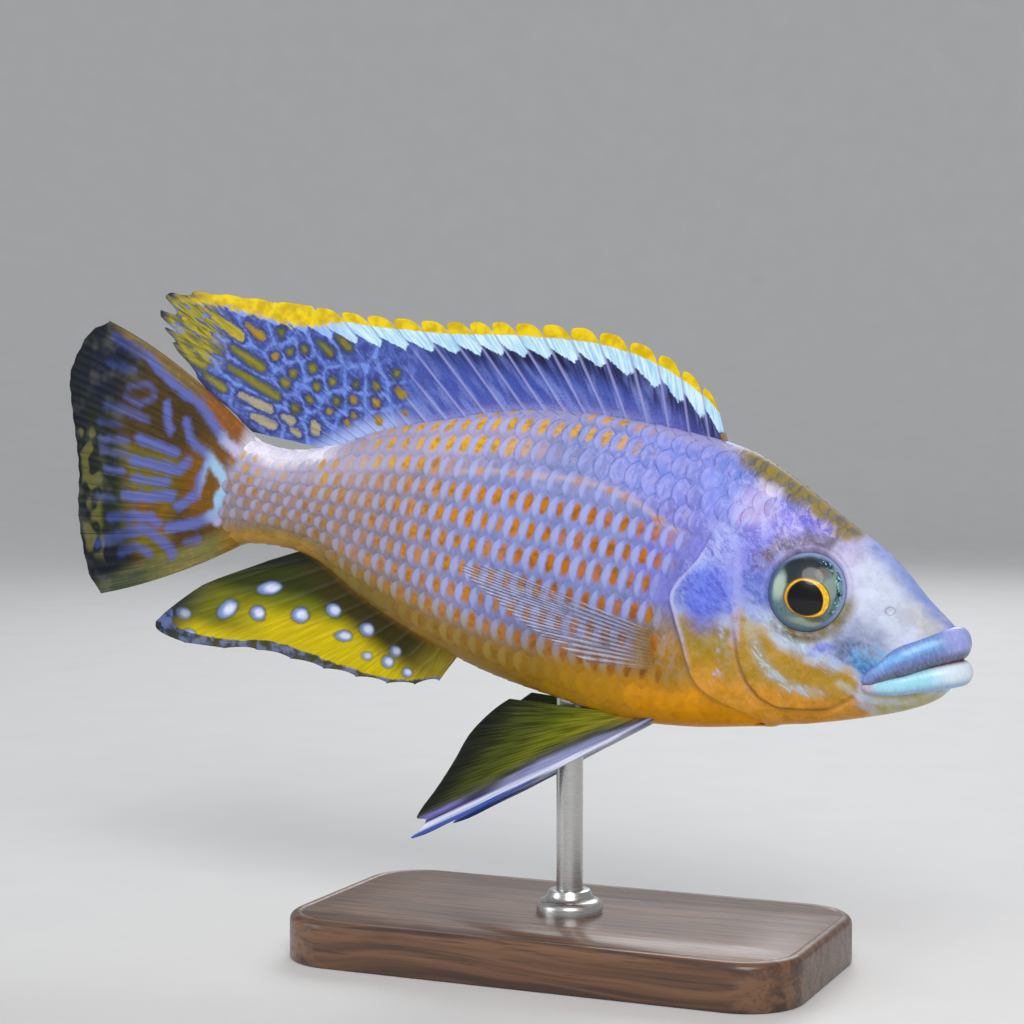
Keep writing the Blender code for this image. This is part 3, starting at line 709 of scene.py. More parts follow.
# Rims round the eye: share of its radius, half width, height
EYE_RIM = (1.09, 0.09, 0.20)
EYE_FOLD = (1.27, 0.13, 0.14)
# Rim of the nostril: radius, half width, height
NOSTRIL_RIM = (0.85, 0.35, 0.05)
# Creases of the head: depth, width, side-view line
CREASES = (
    (0.22, 0.6, ((14.2, -9.4), (18.0, -12.4), (24.0, -15.0))),
    (0.15, 0.5, ((15.4, -10.2), (19.0, -13.6), (25.0, -16.2))),
    (0.16, 0.9, ((14.8, 0.4), (12.6, -2.6), (12.2, -5.2))),
    (0.14, 0.8, ((13.2, -7.0), (14.0, -9.0), (13.6, -11.0))),
)


def round_rim(reach, at, half, height):
    """Low rim, round at the top, at a distance from a middle."""
    return height * edge(np.abs(reach - at), half, 0.0)


def relief(a, w):
    """How far the skin stands out from the smooth body, in mm, ahead of the gill edge."""
    opening = edge(w, GILL_TOP + GILL_TOP_SOFT, GILL_TOP - GILL_TOP_SOFT)
    rise = GILL_SWELL * edge(a, 22, 36) * (1 - (1 - opening) * edge(a, 33, 44))
    r = ellipse(a, w, EYE_AT, EYE_RADIUS)
    rise = rise - SOCKET_DEPTH * edge(r, 1.04, 0.98) + round_rim(r, *EYE_RIM)
    rise = rise - round_rim(r, *EYE_FOLD) * edge(w, 5, -1)
    side, along = nearest(CHEEK_EDGE, a, w)
    fade = edge(along, 0.0, 0.12) * edge(along, 1.0, 0.85)
    behind = edge(side, -0.02, 0.28) * edge(side, 2.6, 0.3)
    ahead = edge(side, -2.0, -0.2) * edge(side, 0.12, -0.05)
    rise = rise + fade * (0.14 * ahead - 0.30 * behind)
    n = np.hypot(a - NOSTRIL_AT[0], w - NOSTRIL_AT[1])
    rise = rise - 0.2 * edge(n, 0.6, 0.1) + round_rim(n, *NOSTRIL_RIM)
    for depth, width, line in CREASES:
        rise = rise - depth * stroke(line, a, w, width)
    return rise


def covered(w, share):
    """1 where the gill cover hides the shoulder behind it, 0 at the nape and under the throat."""
    return edge(w, GILL_TOP + GILL_TOP_SOFT, GILL_TOP - GILL_TOP_SOFT) * edge(share, 0.99, 0.93)


def bed(a, w, share):
    """How far the skin that carries the scales stands out from the smooth body, in mm."""
    hidden = covered(w, share)
    margin = gill_edge(w)
    beyond = a - margin + UNDERCUT * hidden
    open_rise = np.where(a < margin, relief(a, w), relief(margin, w) * edge(beyond, 9.0, 0.0))
    dip = -FLAP_DEPTH * edge(beyond, 3.5, 0.0)
    return hidden * dip + (1 - hidden) * open_rise - SCALE_DEPTH * edge(beyond, 0.0, 2.0)


SKIN_START = 1.7
# Rings of the head and the trunk, and how much closer they lie towards the front
HEAD_RINGS, HEAD_CROWDING = 130, 1.15
TRUNK_RINGS, TRUNK_CROWDING = 110, 1.2
RING_HALF = 170
MARGIN_REACH = (24.0, 43.0)
SCALE_DEPTH = 0.14
FLAP_DEPTH = 0.45
UNDERCUT = 0.55
# Fold under the gill edge: back, and forward and inward where the cover hides the shoulder
FOLD = ((0.02, 0.0, 0.10), (0.0, 0.10, 0.28), (0.0, 0.35, 0.40))
UNDER_SHADE = 0.55
# Line of the closed mouth, its depth and its corner
MOUTH = ((0.4, -1.4), (5.9, -3.3), (10.6, -5.8), (14.0, -7.6))
MOUTH_DEPTH = 1.1
MOUTH_CORNER = (13.0, 11.4)


def make_skin(material):
    """One skin from the lips to the tail fin, folded under the rear edge of each gill cover."""
    half = np.linspace(0, 1, RING_HALF + 1)
    share = np.concatenate([half, half[-2:0:-1]])
    side = np.concatenate([np.full(RING_HALF + 1, -1.0), np.full(RING_HALF - 1, 1.0)])
    low, high = (np.full_like(share, reach) for reach in MARGIN_REACH)
    for _ in range(30):
        middle = (low + high) / 2
        past = middle > gill_edge(around(middle, share)[1])
        low, high = np.where(past, low, middle), np.where(past, middle, high)
    margin = (low + high) / 2
    hidden = covered(around(margin, share)[1], share)
    front = np.linspace(0, 1, HEAD_RINGS)[:, None] ** HEAD_CROWDING
    head_a = SKIN_START + (margin - SKIN_START) * front
    head_lift = relief(head_a, around(head_a, share)[1])
    flap = head_lift[-1]
    rear = np.linspace(0, 1, TRUNK_RINGS)[:, None] ** TRUNK_CROWDING
    start = margin - UNDERCUT * hidden
    trunk_a = start + (BODY_END - start) * rear
    trunk_lift = bed(trunk_a, around(trunk_a, share)[1], share)
    fold_a = np.stack([margin + back - forward * hidden for back, forward, _ in FOLD])
    fold_lift = np.stack([flap - inward * hidden for _, _, inward in FOLD])
    a = np.concatenate([head_a, fold_a, trunk_a])
    lift = np.concatenate([head_lift, fold_lift, trunk_lift])
    points, normals, v, w = body_point(a, share, side)
    slit = edge(np.abs(w - curve(MOUTH, a)), 1.9, 0.8) * edge(a, *MOUTH_CORNER)
    points = raised(points, normals, lift - MOUTH_DEPTH * slit * edge(a, 0.6, 2.0))
    ground, fleck, flecks, _ = paint(a, w)
    # Dark brownish red in the mouth slit: partly the inner lips' own colour, partly painted shade in the
    # crease
    lay(ground, (98, 56, 58), slit)
    under = np.zeros_like(a)
    under[HEAD_RINGS + 1:HEAD_RINGS + 3] = hidden
    ground *= (1 - UNDER_SHADE * under)[..., None]
    piece = add_piece("skin", points, [face[::-1] for face in tube(*a.shape)], material,
                      {"paint": ground, "fleck": fleck, "flecks": flecks,
                       "spot": np.stack([a, w, v], -1)},
                      ["head", "lower_jaw", "gill_cover_left", "gill_cover_right", "torso",
                               "caudal_peduncle"])
    add_uv(piece, bake_place(a, share, side))
    return piece


def bake_place(a, share, side):
    """Place on an unwrap of the skin: along the body, and round each side from the back down."""
    a, share, side = np.broadcast_arrays(a, share, side)
    return np.stack([0.02 + a / 125.0, 0.25 + side * (0.01 + 0.22 * share) + 0.25], -1)


def skin_material():
    g = Graph("skin")
    spot = g.triple("spot")
    a, w, v = g.parts(spot)
    ground, fleck = g.colour("paint"), g.colour("fleck")
    cloudy, streaked, fine = g.parts(g.triple("flecks"))
    along = a * 0.8 + w * 0.6
    across = w * 0.8 - a * 0.6
    clouds = g.noise(spot, 0.42, 4.0, 0.6, 0.4)
    mottle = g.noise(g.vector(along * 0.8, across * 1.4, v * 0.7), 0.9, 5.0, 0.68, 0.8)
    strokes = g.noise(g.vector(along * 0.42, across * 1.3, v * 0.5), 1.25, 4.0, 0.64, 0.5)
    daubs = g.noise(g.vector(along * 0.36, across * 0.85, v * 0.4), 1.0, 4.0, 0.7, 0.6)
    grain = g.noise(spot, 3.4, 4.0, 0.65)
    colour = g.mix(g.step(clouds, 0.35, 0.65), g.tinted(ground, (0.86, 0.86, 0.9)),
                   g.tinted(ground, (1.08, 1.07, 1.05)))
    colour = g.layers(colour, (
        (g.step(clouds, 0.42, 0.72) * (cloudy * 0.8), fleck),
        (g.step(mottle, 0.44, 0.6) * (cloudy * 0.75), fleck),
        (g.step(mottle, 0.46, 0.34) * 0.3, (0.66, 0.66, 0.74, 1.0), "MULTIPLY"),
        (g.step(grain, 0.46, 0.32) * 0.2, (0.6, 0.58, 0.7, 1.0), "MULTIPLY"),
    ))

    def marks(field, start, gain, soft):
        wanted = start - streaked * gain
        return g.step(field, wanted, wanted + soft) * g.step(streaked, 0.0, 0.3)

    mask = g.most(marks(daubs, 0.6, 0.18, 0.16) * 0.75, marks(strokes, 0.66, 0.2, 0.16))
    mask = mask * g.step(grain, 0.3, 0.5, 0.6, 1.0)
    colour = g.layers(colour, (
        (mask * 0.85, fleck),
        (g.step(grain, 0.6, 0.7) * fine, (206, 216, 255)),
    ))
    nostril = g.oval(a, w, NOSTRIL_AT, (0.62, 0.56)) + clouds * (0.8 + w * -0.1)
    ring = g.step(abs(nostril - 1.2), 0.24, 0.04)
    colour = g.mix(ring * 0.5, colour, (126, 100, 104))
    return g.finish(colour, g.step(mask, 0.0, 1.0, 0.44, 0.34),
                    (strokes * 0.6 + grain * 0.4, 0.3, 0.00022), (0.15, 0.2), 0.25)


ROW_LEVEL = 1.2
ROWS = range(-8, 7)
# Rows of scales above and below that level: back, how many
ROWS_ABOVE = ((34.0, 7.6), (56.0, 6.4), (75.0, 6.0), (104.0, 5.0))
ROWS_BELOW = ((75.0, 6.0), (104.0, 5.0))
# Distance from scale to scale in a row: back, mm
PITCH = ((14.0, 1.3), (20.0, 1.45), (30.0, 1.7), (38.0, 2.1), (50.0, 2.55), (120.0, 2.6))
SCALES_END = 121.4
SCALES_END_BOW = 0.027
# Front edge of the scales on the nape: back, level
NAPE_EDGE = (
    (17.0, 14.6), (18.5, 13.0), (20.3, 12.2), (23.5, 13.6), (27.0, 14.2), (30.5, 13.2), (34.0, 11.6),
    (37.5, 10.4),
)
# Each scale is a plate of steps both ways. Its half width is a share of the space from row to row. It
# rises by its slope from front to rear. Lift, dip at the sides and rear, and thickness are in mm.
SEED = 11
PLATE_STEPS = 10
PLATE_HALF = 0.70
PLATE_LEAN = 0.16
PLATE_SLOPE = 0.058
PLATE_LIFT = 0.09
PLATE_SIDE_DIP = 0.05
PLATE_REAR_DIP = 0.012
PLATE_THICKNESS = 0.06
TAIL_PLATE_LIFT = 0.3
BAKE_PATCH = 0.0036 * 0.7


def row_share(a, row):
    """Share of the way round at which a row of scales lies, and the share from row to row."""
    middle = share_at(a, np.full_like(a, ROW_LEVEL))
    above = np.interp(a, *np.array(ROWS_ABOVE).T)
    below = np.interp(a, *np.array(ROWS_BELOW).T)
    apart = middle / above if row < 0 else (1 - middle) / below
    return middle + row * apart, apart


def scale_places(side):
    """Back from the snout, share of the way round and share from row to row, of each scale."""
    reach = np.linspace(14, SCALES_END, 1001)
    passed = np.concatenate([[0], np.cumsum(np.diff(reach) / curve(PITCH, reach[1:]))])
    found = []
    for row in ROWS:
        a = np.interp(np.arange(0.25 + 0.5 * (row % 2), passed[-1]), passed, reach)
        share, apart = row_share(a, row)
        level = around(a, np.clip(share, 0, 1))[1]
        nape = (a > NAPE_EDGE[0][0]) & (a < 37.5) & (level > curve(NAPE_EDGE, a) + 0.2)
        shown = nape | (a > gill_edge(level) + 0.7)
        doubled = (np.abs(share) < 0.02) | (np.abs(share - 1) < 0.02)
        shown &= (share > -0.02) & (share < 1.02) & ~(doubled & (side < 0))
        shown &= a < SCALES_END - SCALES_END_BOW * level ** 2
        found.append(np.stack([a, share, apart], -1)[shown])
    return np.concatenate(found)


def scale_marks(a, w):
    """Spot, pale leaf and dark outline amounts, and the spot's colour, of the scales at a and w."""
    top, bottom, _, _ = section(a)
    above = w - lateral_level(a)
    rise = w - bottom
    belly_top = curve(((42.0, 8.0), (52.0, 7.8), (62.0, 6.8), (76.0, 5.8), (90.0, 4.6), (120.0, 1.8)), a)
    golden = edge(rise, belly_top + 3.0, belly_top - 2.0)
    behind = a - gill_edge(w)
    shoulder = edge(above, -1.5, 2.5) * edge(a, 76, 62)
    crest = edge(top - w, 6.4, 4.4) * edge(a, 48, 56)
    line = edge(np.abs(above), 2.2, 0.8) * edge(a, 86, 76)
    bare = 1 - edge(top - w, 3.0, 2.0) * edge(a, 99, 104)
    spots = edge(behind, 1.6, 4.2) * (1 - 0.92 * shoulder) * (1 - 0.85 * line)
    spots = np.clip(spots + 0.8 * crest * shoulder, 0, 1) * (1 - 0.25 * golden) * edge(w, -16.5, -13)
    spots = spots * edge(a, 39, 43) * bare * edge(rise, 1.6, 3.6)
    leaves = np.clip(edge(behind, 0.5, 3.0) * (1 - 0.5 * shoulder) * (1 - 0.4 * golden), 0, 1)
    fore = edge(a, 66, 52)
    leaves = leaves * edge(rise, 2.0 + 2.5 * fore, 5.5 + 4.0 * fore) * bare
    leaves = leaves * (1 - 0.85 * patch(a, w, (41.6, -9.0), (4.6, 4.8)))
    outline = 0.14 + 0.5 * edge(above, -4, 2) * edge(a, 84, 60)
    outline = outline * (1 - 0.6 * golden) * bare * edge(rise, 0.8, 2.4)
    dots = washed((198, 126, 8), (
        ((186, 108, 2), edge(a, 74, 56) * edge(above, 0, -4)),
        ((186, 124, 26), edge(a, 88, 106)),
        ((226, 168, 12), np.clip(crest + edge(above, 0, 5) * edge(a, 60, 70), 0, 1)),
        ((180, 134, 20), edge(behind, 5.0, 2.0)),
        ((146, 102, 8), golden),
    ))
    return np.stack([spots, leaves, np.clip(outline, 0, 1)], -1), dots


def make_scales(word, side, material):
    """Overlapping plates on one side, rooted in the skin in front and standing off it behind."""
    seeded = np.random.default_rng(SEED)
    places = scale_places(side)[:, :, None, None]
    a0, share0, apart = places[:, 0], places[:, 1], places[:, 2]
    pitch = curve(PITCH, a0)
    s = np.linspace(0, 1, PLATE_STEPS + 1)[None, :, None] ** 0.85
    t = np.linspace(-1, 1, PLATE_STEPS + 1)[None, None, :]
    rear = 0.74 - 0.66 * t ** 2 - 0.12 * t ** 4
    front = -1.05 + 0.25 * t ** 2
    x = front + (rear - front) * s + 0 * a0
    y = PLATE_HALF * t + 0 * x
    a = a0 + (x + PLATE_LEAN * y) * pitch
    share = share0 + y * apart
    points, normals, v, w = body_point(a, share, side)
    level0 = around(a0, np.clip(share0, 0, 1))[1]
    tilt = 1 + 0.3 * (seeded.random(a0.shape) - 0.5)
    breast = edge(level0, -15.5, -18.5) * edge(a0, 46, 40)
    nape = edge(a0, 40, 34)
    proud = 1 - 0.75 * breast - 0.35 * nape - 0.55 * edge(a0, 108, 118)
    lift = bed(a, w, np.clip(share, 0, 1)) + PLATE_LIFT * proud + PLATE_SLOPE * proud * tilt * x * pitch
    lift = lift - PLATE_SIDE_DIP * t ** 2 - PLATE_REAR_DIP * (s > 0.97)
    lift = lift + TAIL_PLATE_LIFT * edge(a, 117.2, 118.5)
    upper = raised(points, normals, lift)
    lower = raised(points, normals, lift - PLATE_THICKNESS)
    n = PLATE_STEPS + 1
    rim = border(np.arange(n * n).reshape(n, n))
    count = len(a0)
    flat = [values.reshape(count, n * n, -1) for values in (upper, lower)]
    vertices = np.concatenate([flat[0], flat[1][:, rim]], 1)
    top_faces = np.array(quads(n, n))
    below = n * n + np.arange(len(rim))
    side_faces = np.stack([rim, np.roll(rim, -1), np.roll(below, -1), below], -1)
    each = vertices.shape[1]
    turned = -1 if side < 0 else 1
    faces = []
    for i in range(count):
        start = i * each
        faces.extend((top_faces + start)[:, ::turned].tolist())
        faces.extend((side_faces + start)[:, ::-turned].tolist())
        faces.append((below + start)[::-turned].tolist())

    def on_plate(values):
        values = np.broadcast_to(values, (count, n, n, values.shape[-1])).reshape(count, n * n, -1)
        return np.concatenate([values, values[:, rim]], 1)

    ground, fleck, _, sheen = paint(a, w)
    marks, dots = scale_marks(a0 + 0 * a, level0 + 0 * w)
    random = seeded.random(a0.shape) + 0 * a
    attributes = {
        "paint": on_plate(ground), "fleck": on_plate(fleck), "marks": on_plate(marks),
        "dot": on_plate(dots), "local": on_plate(np.stack([x, y, random], -1)),
        "spot": on_plate(np.stack([a, w, v], -1)), "rim": on_plate((s + 0 * a)[..., None]),
        "sheen": on_plate(sheen[..., None]),
    }
    piece = add_piece("scales_" + word, vertices, faces, material, attributes,
                      ["torso", "caudal_peduncle"], sharp=50)
    root = bake_place(a0, np.clip(share0, 0, 1), side)
    offset = np.stack([0.5 * x, y], -1) * BAKE_PATCH
    add_uv(piece, on_plate(root + offset))
    return piece


def scale_material():
    g = Graph("scales")
    spot = g.triple("spot")
    local = g.parts(g.triple("local"))
    marks = g.parts(g.triple("marks"))
    base, pale, dot = g.colour("paint"), g.colour("fleck"), g.colour("dot")
    rim = g.number("rim")
    wobble = g.noise(spot, 0.8, 2.0, 0.5) - 0.5
    x = local[0] + wobble * 0.26
    y = local[1] + (g.noise(spot, 1.1, 2.0) - 0.5) * 0.24
    rear = g.step(g.parts(spot)[0], 84.0, 104.0)
    size = 0.84 + local[2] * 0.28
    tall = y * (1.0 - rear * 0.25)
    dot_reach = g.oval(x, tall, (-0.01, -0.02), (0.23, 0.35)) / size
    uneven = g.step(g.fraction(local[2] * 7.0), 0.0, 0.4, 0.84, 1.0)
    uneven = uneven * (1.0 - rear * g.step(g.noise(spot, 0.16, 1.0), 0.4, 0.6, 0.75, 0.1))
    dot_mask = g.step(dot_reach, 1.38, 0.66) * (marks[0] * uneven)
    leaf_reach = g.oval(x, y + x * 0.3, (0.49, 0.1), (0.27, 0.56))
    leaf_mask = g.step(leaf_reach, 1.32, 0.42) * marks[1]
    tone = g.step(local[2], 0.0, 1.0, 0.88, 1.08)
    ground = g.mix(1.0, base, g.node("ShaderNodeCombineColor", {0: tone, 1: tone, 2: tone}), "MULTIPLY")
    clouds = g.noise(spot, 0.55, 3.0, 0.6)
    ground = g.mix(g.step(clouds, 0.5, 0.34, 0.0, 0.45), ground, (0.76, 0.74, 0.8, 1.0), "MULTIPLY")
    along = local[0] * 0.5 + local[1] * 0.9
    shifted = g.moved(g.scaled(spot, (0.9, 0.5, 0.6)), g.vector(0.0, 0.0, along * 0.6))
    shimmer = g.noise(shifted, 1.1, 5.0, 0.7, 0.7)
    ground = g.layers(ground, (
        (g.step(shimmer, 0.45, 0.6) * g.number("sheen"), pale),
        (g.step(shimmer, 0.45, 0.34) * 0.3, (0.66, 0.64, 0.74, 1.0), "MULTIPLY"),
    ))
    # Painted shade between the rows: the upper and lower sides of each scale are darkened
    row_shade = g.step(abs(local[1]), 0.3, 0.54)
    ground = g.mix(row_shade * 0.2, ground, (0.66, 0.62, 0.8, 1.0), "MULTIPLY")
    colour = g.mix(leaf_mask * 0.76, ground, pale)
    dark = g.tinted(dot, (0.62, 0.62, 0.7))
    dot = g.mix(rear * 0.4, dot, (150, 120, 24))
    colour = g.mix(dot_mask, colour, g.mix(g.step(g.noise(spot, 0.9, 2.0), 0.32, 0.6), dark, dot))
    outline = g.step(rim + wobble * 0.1, 0.9, 0.975) * marks[2]
    outline = outline * g.step(shimmer, 0.3, 0.62, 1.0, 0.45)
    colour = g.mix(outline, colour, g.tinted(ground, (0.3, 0.26, 0.42)))
    streaks = g.noise(g.vector(local[0], local[1] * 6.0, local[2]), 3.0, 2.0)
    return g.finish(colour, g.step(leaf_mask, 0.0, 1.0, 0.44, 0.32), (streaks, 0.2, 0.00008),
                    (0.12, 0.22), 0.25)


FULL_TURN = np.linspace(0, 2 * np.pi, 97)[:-1]
EYE_RINGS = 40
EYE_DOME = 1.45
# Back of the eye: share of its radius, depth
EYE_BACK = ((1.02, -1.0), (1.0, -1.8), (0.5, -1.9))
# Blots of the iris: middle, radii, strength, colour. The last, dark brown below the front of the pupil, is
# painted shadow.
EYE_BLOTS = (
    ((-0.55, 0.25), (0.3, 0.5), 0.7, (150, 168, 156)), ((0.1, 0.56), (0.66, 0.34), 1.0, (28, 36, 46)),
    ((0.48, 0.36), (0.26, 0.3), 0.9, (34, 44, 52)), ((-0.3, 0.5), (0.2, 0.16), 0.6, (128, 122, 112)),
    ((0.72, 0.02), (0.17, 0.4), 0.9, (172, 192, 176)), ((0.45, -0.7), (0.3, 0.16), 0.6, (96, 118, 128)),
    ((-0.15, -0.72), (0.46, 0.12), 0.6, (168, 176, 150)), ((-0.3, -0.6), (0.28, 0.12), 0.8, (84, 72, 40)),
)


def make_eye(word, side, material):
    """Domed eye set in its socket, closed behind."""
    dome = np.linspace(0, 1, EYE_RINGS + 1)[1:]
    back, depth = np.transpose(EYE_BACK)
    reach = np.concatenate([dome, back])[:, None]
    lift = np.concatenate([EYE_PROUD - EYE_DOME * dome ** 2, depth])[:, None]
    across, up = reach * np.cos(FULL_TURN), reach * np.sin(FULL_TURN)
    a = EYE_AT[0] + EYE_RADIUS[0] * across
    w = EYE_AT[1] + EYE_RADIUS[1] * up
    points, normals, _, _ = body_point(a, share_at(a, w), side)
    points = raised(points, normals, lift + 0 * a)
    middle_a, middle_w = np.array([EYE_AT]).T
    middle, direction, _, _ = body_point(middle_a, share_at(middle_a, middle_w), side)
    poles = [raised(middle, direction, np.array([height])) for height in (EYE_PROUD, depth[-1])]
    vertices = np.concatenate([points.reshape(-1, 3), *poles])
    rows, columns = a.shape
    faces = quads(rows, columns, wrap=True)
    last = rows * columns
    for j in range(columns):
        k = (j + 1) % columns
        faces.append([last, k, j])
        faces.append([last + 1, last - columns + j, last - columns + k])
    if side > 0:
        faces = [face[::-1] for face in faces]
    flat = np.stack([across, up, reach + 0 * a], -1).reshape(-1, 3)
    iris = np.concatenate([flat, [[0, 0, 0], [0, 0, 1.0]]])
    return add_piece("eye_ball_" + word, vertices, faces, material, {"iris": iris},
                     ["eye_" + word])


def eye_material():
    g = Graph("eye")
    iris = g.triple("iris")
    x, y, _ = g.parts(iris)
    rough = g.noise(iris, 2.4, 3.0, 0.6) - 0.5
    fine = g.noise(iris, 12.0, 3.0, 0.6)
    blots = g.noise(iris, 6.0, 2.0)
    reach = g.oval(x, y)
    colour = g.mix(g.step(fine, 0.3, 0.7), (72, 104, 112), (98, 130, 130))
    for centre, radii, strength, tint in EYE_BLOTS:
        blot = g.step(g.oval(x, y, centre, radii) + rough * 0.5, 1.25, 0.55)
        colour = g.mix(blot * strength, colour, tint)
    arc = g.step(abs(reach - 0.84), 0.12, 0.05) * g.step(y - x, 0.1, 0.5)
    arc = arc * g.step(x, -0.05, -0.25)
    colour = g.layers(colour, (
        (arc * g.step(blots, 0.46, 0.56), (22, 34, 62)),
        (arc * g.step(fine, 0.56, 0.64), (140, 216, 224)),
    ))
    corner = g.most(y - x - 0.06, 0.0)
    ring = g.oval(x, y, (-0.085, -0.13), (0.605, 0.468)) + corner * 0.28
    pupil = g.oval(x, y, (-0.045, -0.147), (0.485, 0.42)) + corner * 0.55
    gold = g.mix(g.step(fine, 0.4, 0.7), (236, 176, 20), (255, 222, 70))
    gold = g.mix(g.step(x - y, 0.0, 0.7), gold, (206, 158, 40))
    colour = g.layers(colour, (
        (g.step(ring + rough * 0.05, 1.1, 1.02), (120, 84, 22)),
        (g.step(ring + rough * 0.05, 1.03, 0.98), gold),
        (g.step(pupil, 1.07, 1.03), (140, 84, 14)),
        (g.step(pupil, 1.03, 0.99), (7, 7, 12)),
    ))
    # Blue-lilac rim round the iris, paler towards its upper front as painted sheen
    limbus_and_sheen = g.mix(g.step(y - x, -0.6, 0.6), (88, 104, 138), (146, 160, 206))
    colour = g.layers(colour, (
        (g.step(reach + rough * 0.1, 0.84, 0.96) * 0.85, limbus_and_sheen),
        (g.step(reach, 0.975, 1.0) * 0.7, (62, 66, 104)),
    ))
    return g.finish(colour, 0.3, (fine, 0.06, 0.0001), (0.4, 0.04), 0.2)


def make_lip(name, rows, replaced, shades, material):
    """Fleshy lip swept round the mouth, thinning to its two corners."""
    t = np.linspace(0, 1, LIP_STEPS + 1)
    turn = np.pi * (t - 0.5)
    reach = np.abs(np.cos(turn)) ** (2 / LIP_ROUNDNESS)
    a = LIP_CORNER - (LIP_CORNER - rows[0][0]) * reach
    v = LIP_HALF_WIDTH * np.sign(turn) * np.abs(np.sin(turn)) ** (2 / LIP_ROUNDNESS)
    level, thick, tall = np.moveaxis(smooth(rows, a), -1, 0)
    inner, outer = np.abs(v), (flank(a, level) - 0.5 * thick) * edge(a, 2.0, 9.0)
    soft = 1.6 * edge(inner, 0.5, 3.5)
    v = np.where(turn < 0, -0.5, 0.5) * (inner + outer + np.hypot(inner - outer, soft) - 0.4 * soft)
    ends = np.minimum(t, 1 - t)
    taper = LIP_END + (1 - LIP_END) * np.sqrt(edge(ends, -0.01, 0.025))
    thick, tall = thick * taper, tall * taper
    middle = place(a, v, level)
    ahead = np.gradient(middle, axis=0)
    ahead /= np.linalg.norm(ahead, axis=-1, keepdims=True)
    out = np.cross(ahead, (0, 0, 1.0))
    out /= np.linalg.norm(out, axis=-1, keepdims=True)
    up = np.cross(out, ahead)
    angle = np.linspace(0, 2 * np.pi, LIP_ROUND_STEPS + 1)[:-1]
    height = np.sin(angle) + 0 * t[:, None]
    outward = thick[:, None] * np.cos(angle) * MM
    upward = tall[:, None] * height * MM
    points = middle[:, None] + outward[..., None] * out[:, None] + upward[..., None] * up[:, None]
    colour = shades(reach[:, None] + 0 * height, height)
    along = np.stack([a[:, None] + 0 * height, height * tall[:, None], v[:, None] + 0 * height], -1)
    return add_piece(name, points, tube(*height.shape), material, {"paint": colour, "spot": along},
                     replaced)


def upper_lip_shades(reach, height):
    return washed((100, 130, 198), (
        ((98, 122, 184), edge(height, 0.7, 1.0)),
        # Painted highlight: a cyan band along the upper middle of the lip
        ((112, 180, 240), edge(np.abs(height - 0.42), 0.46, 0.1) * edge(np.abs(reach - 0.5), 0.42, 0.2)),
        ((156, 168, 232), edge(reach, 0.76, 0.95)),
        # Painted shade on the underside of the lip; at the crease a brownish red that is partly the inner
        # lip's colour, partly painted shade
        ((92, 98, 136), edge(height, -0.1, -0.6)),
        ((96, 70, 78), edge(height, -0.7, -0.95)),
    ))


def lower_lip_shades(reach, height):
    return washed((160, 226, 246), (
        ((226, 240, 252), edge(reach, 0.66, 0.92)),
        ((150, 190, 226), edge(height, -0.2, -0.8)),
        ((196, 170, 186), edge(reach, 0.2, 0.05)),
        # Brownish red at the crease: partly the inner lip's colour, partly painted shade
        ((120, 84, 84), edge(height, 0.72, 0.95)),
    ))


def lip_material():
    g = Graph("lips")
    spot = g.triple("spot")
    wrinkles = g.noise(g.scaled(spot, (2.2, 0.6, 2.2)), 1.6, 4.0, 0.6, 0.6)
    colour = g.colour("paint")
    colour = g.mix(g.step(wrinkles, 0.3, 0.75), g.tinted(colour, (0.9, 0.9, 0.93)),
                   g.mix(0.15, colour, (226, 236, 255)))
    return g.finish(colour, 0.38, (wrinkles, 0.15, 0.00015), (0.3, 0.15), 0.35)


RAY_STEPS = (0.0, 0.03, 0.08, 0.15, 0.23, 0.32, 0.41, 0.5, 0.6, 0.7, 0.8, 0.88, 0.94, 0.975)
# How far the margin falls short behind a spine: share of the way to the next one, share of the notch
SPINE_DROP = (
    (0.0, 1.0), (0.03, 0.8), (0.08, 0.5), (0.15, 0.22), (0.23, 0.08), (0.32, 0.02), (0.5, 0.0),
    (0.7, 0.06), (0.8, 0.14), (0.88, 0.28), (0.94, 0.5), (0.975, 0.8), (1.0, 1.0),
)
SPINE_NOTCH = 2.4
ROOT_DEPTH = 0.9
# Gaps between the frayed rear tips of the dorsal fin: ray, half width in rays, depth
DORSAL_SLOTS = (
    (17.5, 0.3, 0.5), (18.5, 0.3, 0.4), (19.5, 0.3, 0.5), (20.5, 0.26, 1.3), (21.5, 0.22, 3.6),
    (22.27, 0.12, 3.4), (22.75, 0.14, 1.6), (23.5, 0.24, 1.2), (24.5, 0.24, 0.8),
)


def capsules(a, w, rows, taper=0.0):
    """Distances to the nearest and second nearest of the rows, and the nearest one's last value.

    A row is the two ends of a line, back and level, its half width, which falls by the share taper
    towards the first end, and the value.
    """
    first, second = np.full(a.shape, 1e3), np.full(a.shape, 1e3)
    value = np.zeros(a.shape)
    for start_a, start_w, end_a, end_w, half, own in rows:
        da, dw = end_a - start_a, end_w - start_w
        t = np.clip(((a - start_a) * da + (w - start_w) * dw) / max(da * da + dw * dw, 1e-6), 0, 1)
        wide = half * (1 - taper * edge(t, 0.7, 0.0))
        reach = np.hypot(a - start_a - t * da, w - start_w - t * dw) - wide
        closer = reach < first
        second = np.where(closer, first, np.minimum(second, reach))
        first = np.where(closer, reach, first)
        value = np.where(closer, own, value)
    return first, second, value


def ridge(ray, s, width, fork):
    """1 on a ray, 0 between rays. Rays fork from the share s given by fork's start to its end."""
    f = ray - np.round(ray)
    apart = 0.24 * edge(s, *fork)
    return np.exp(-((np.abs(f) - apart) / width) ** 2)


def tips(rows, rays=1):
    """Side-view points of the margin from rows that end with them, first ray at 0, last one at 1."""
    return lambda q: smooth(rows, q * rays)[..., -2:]


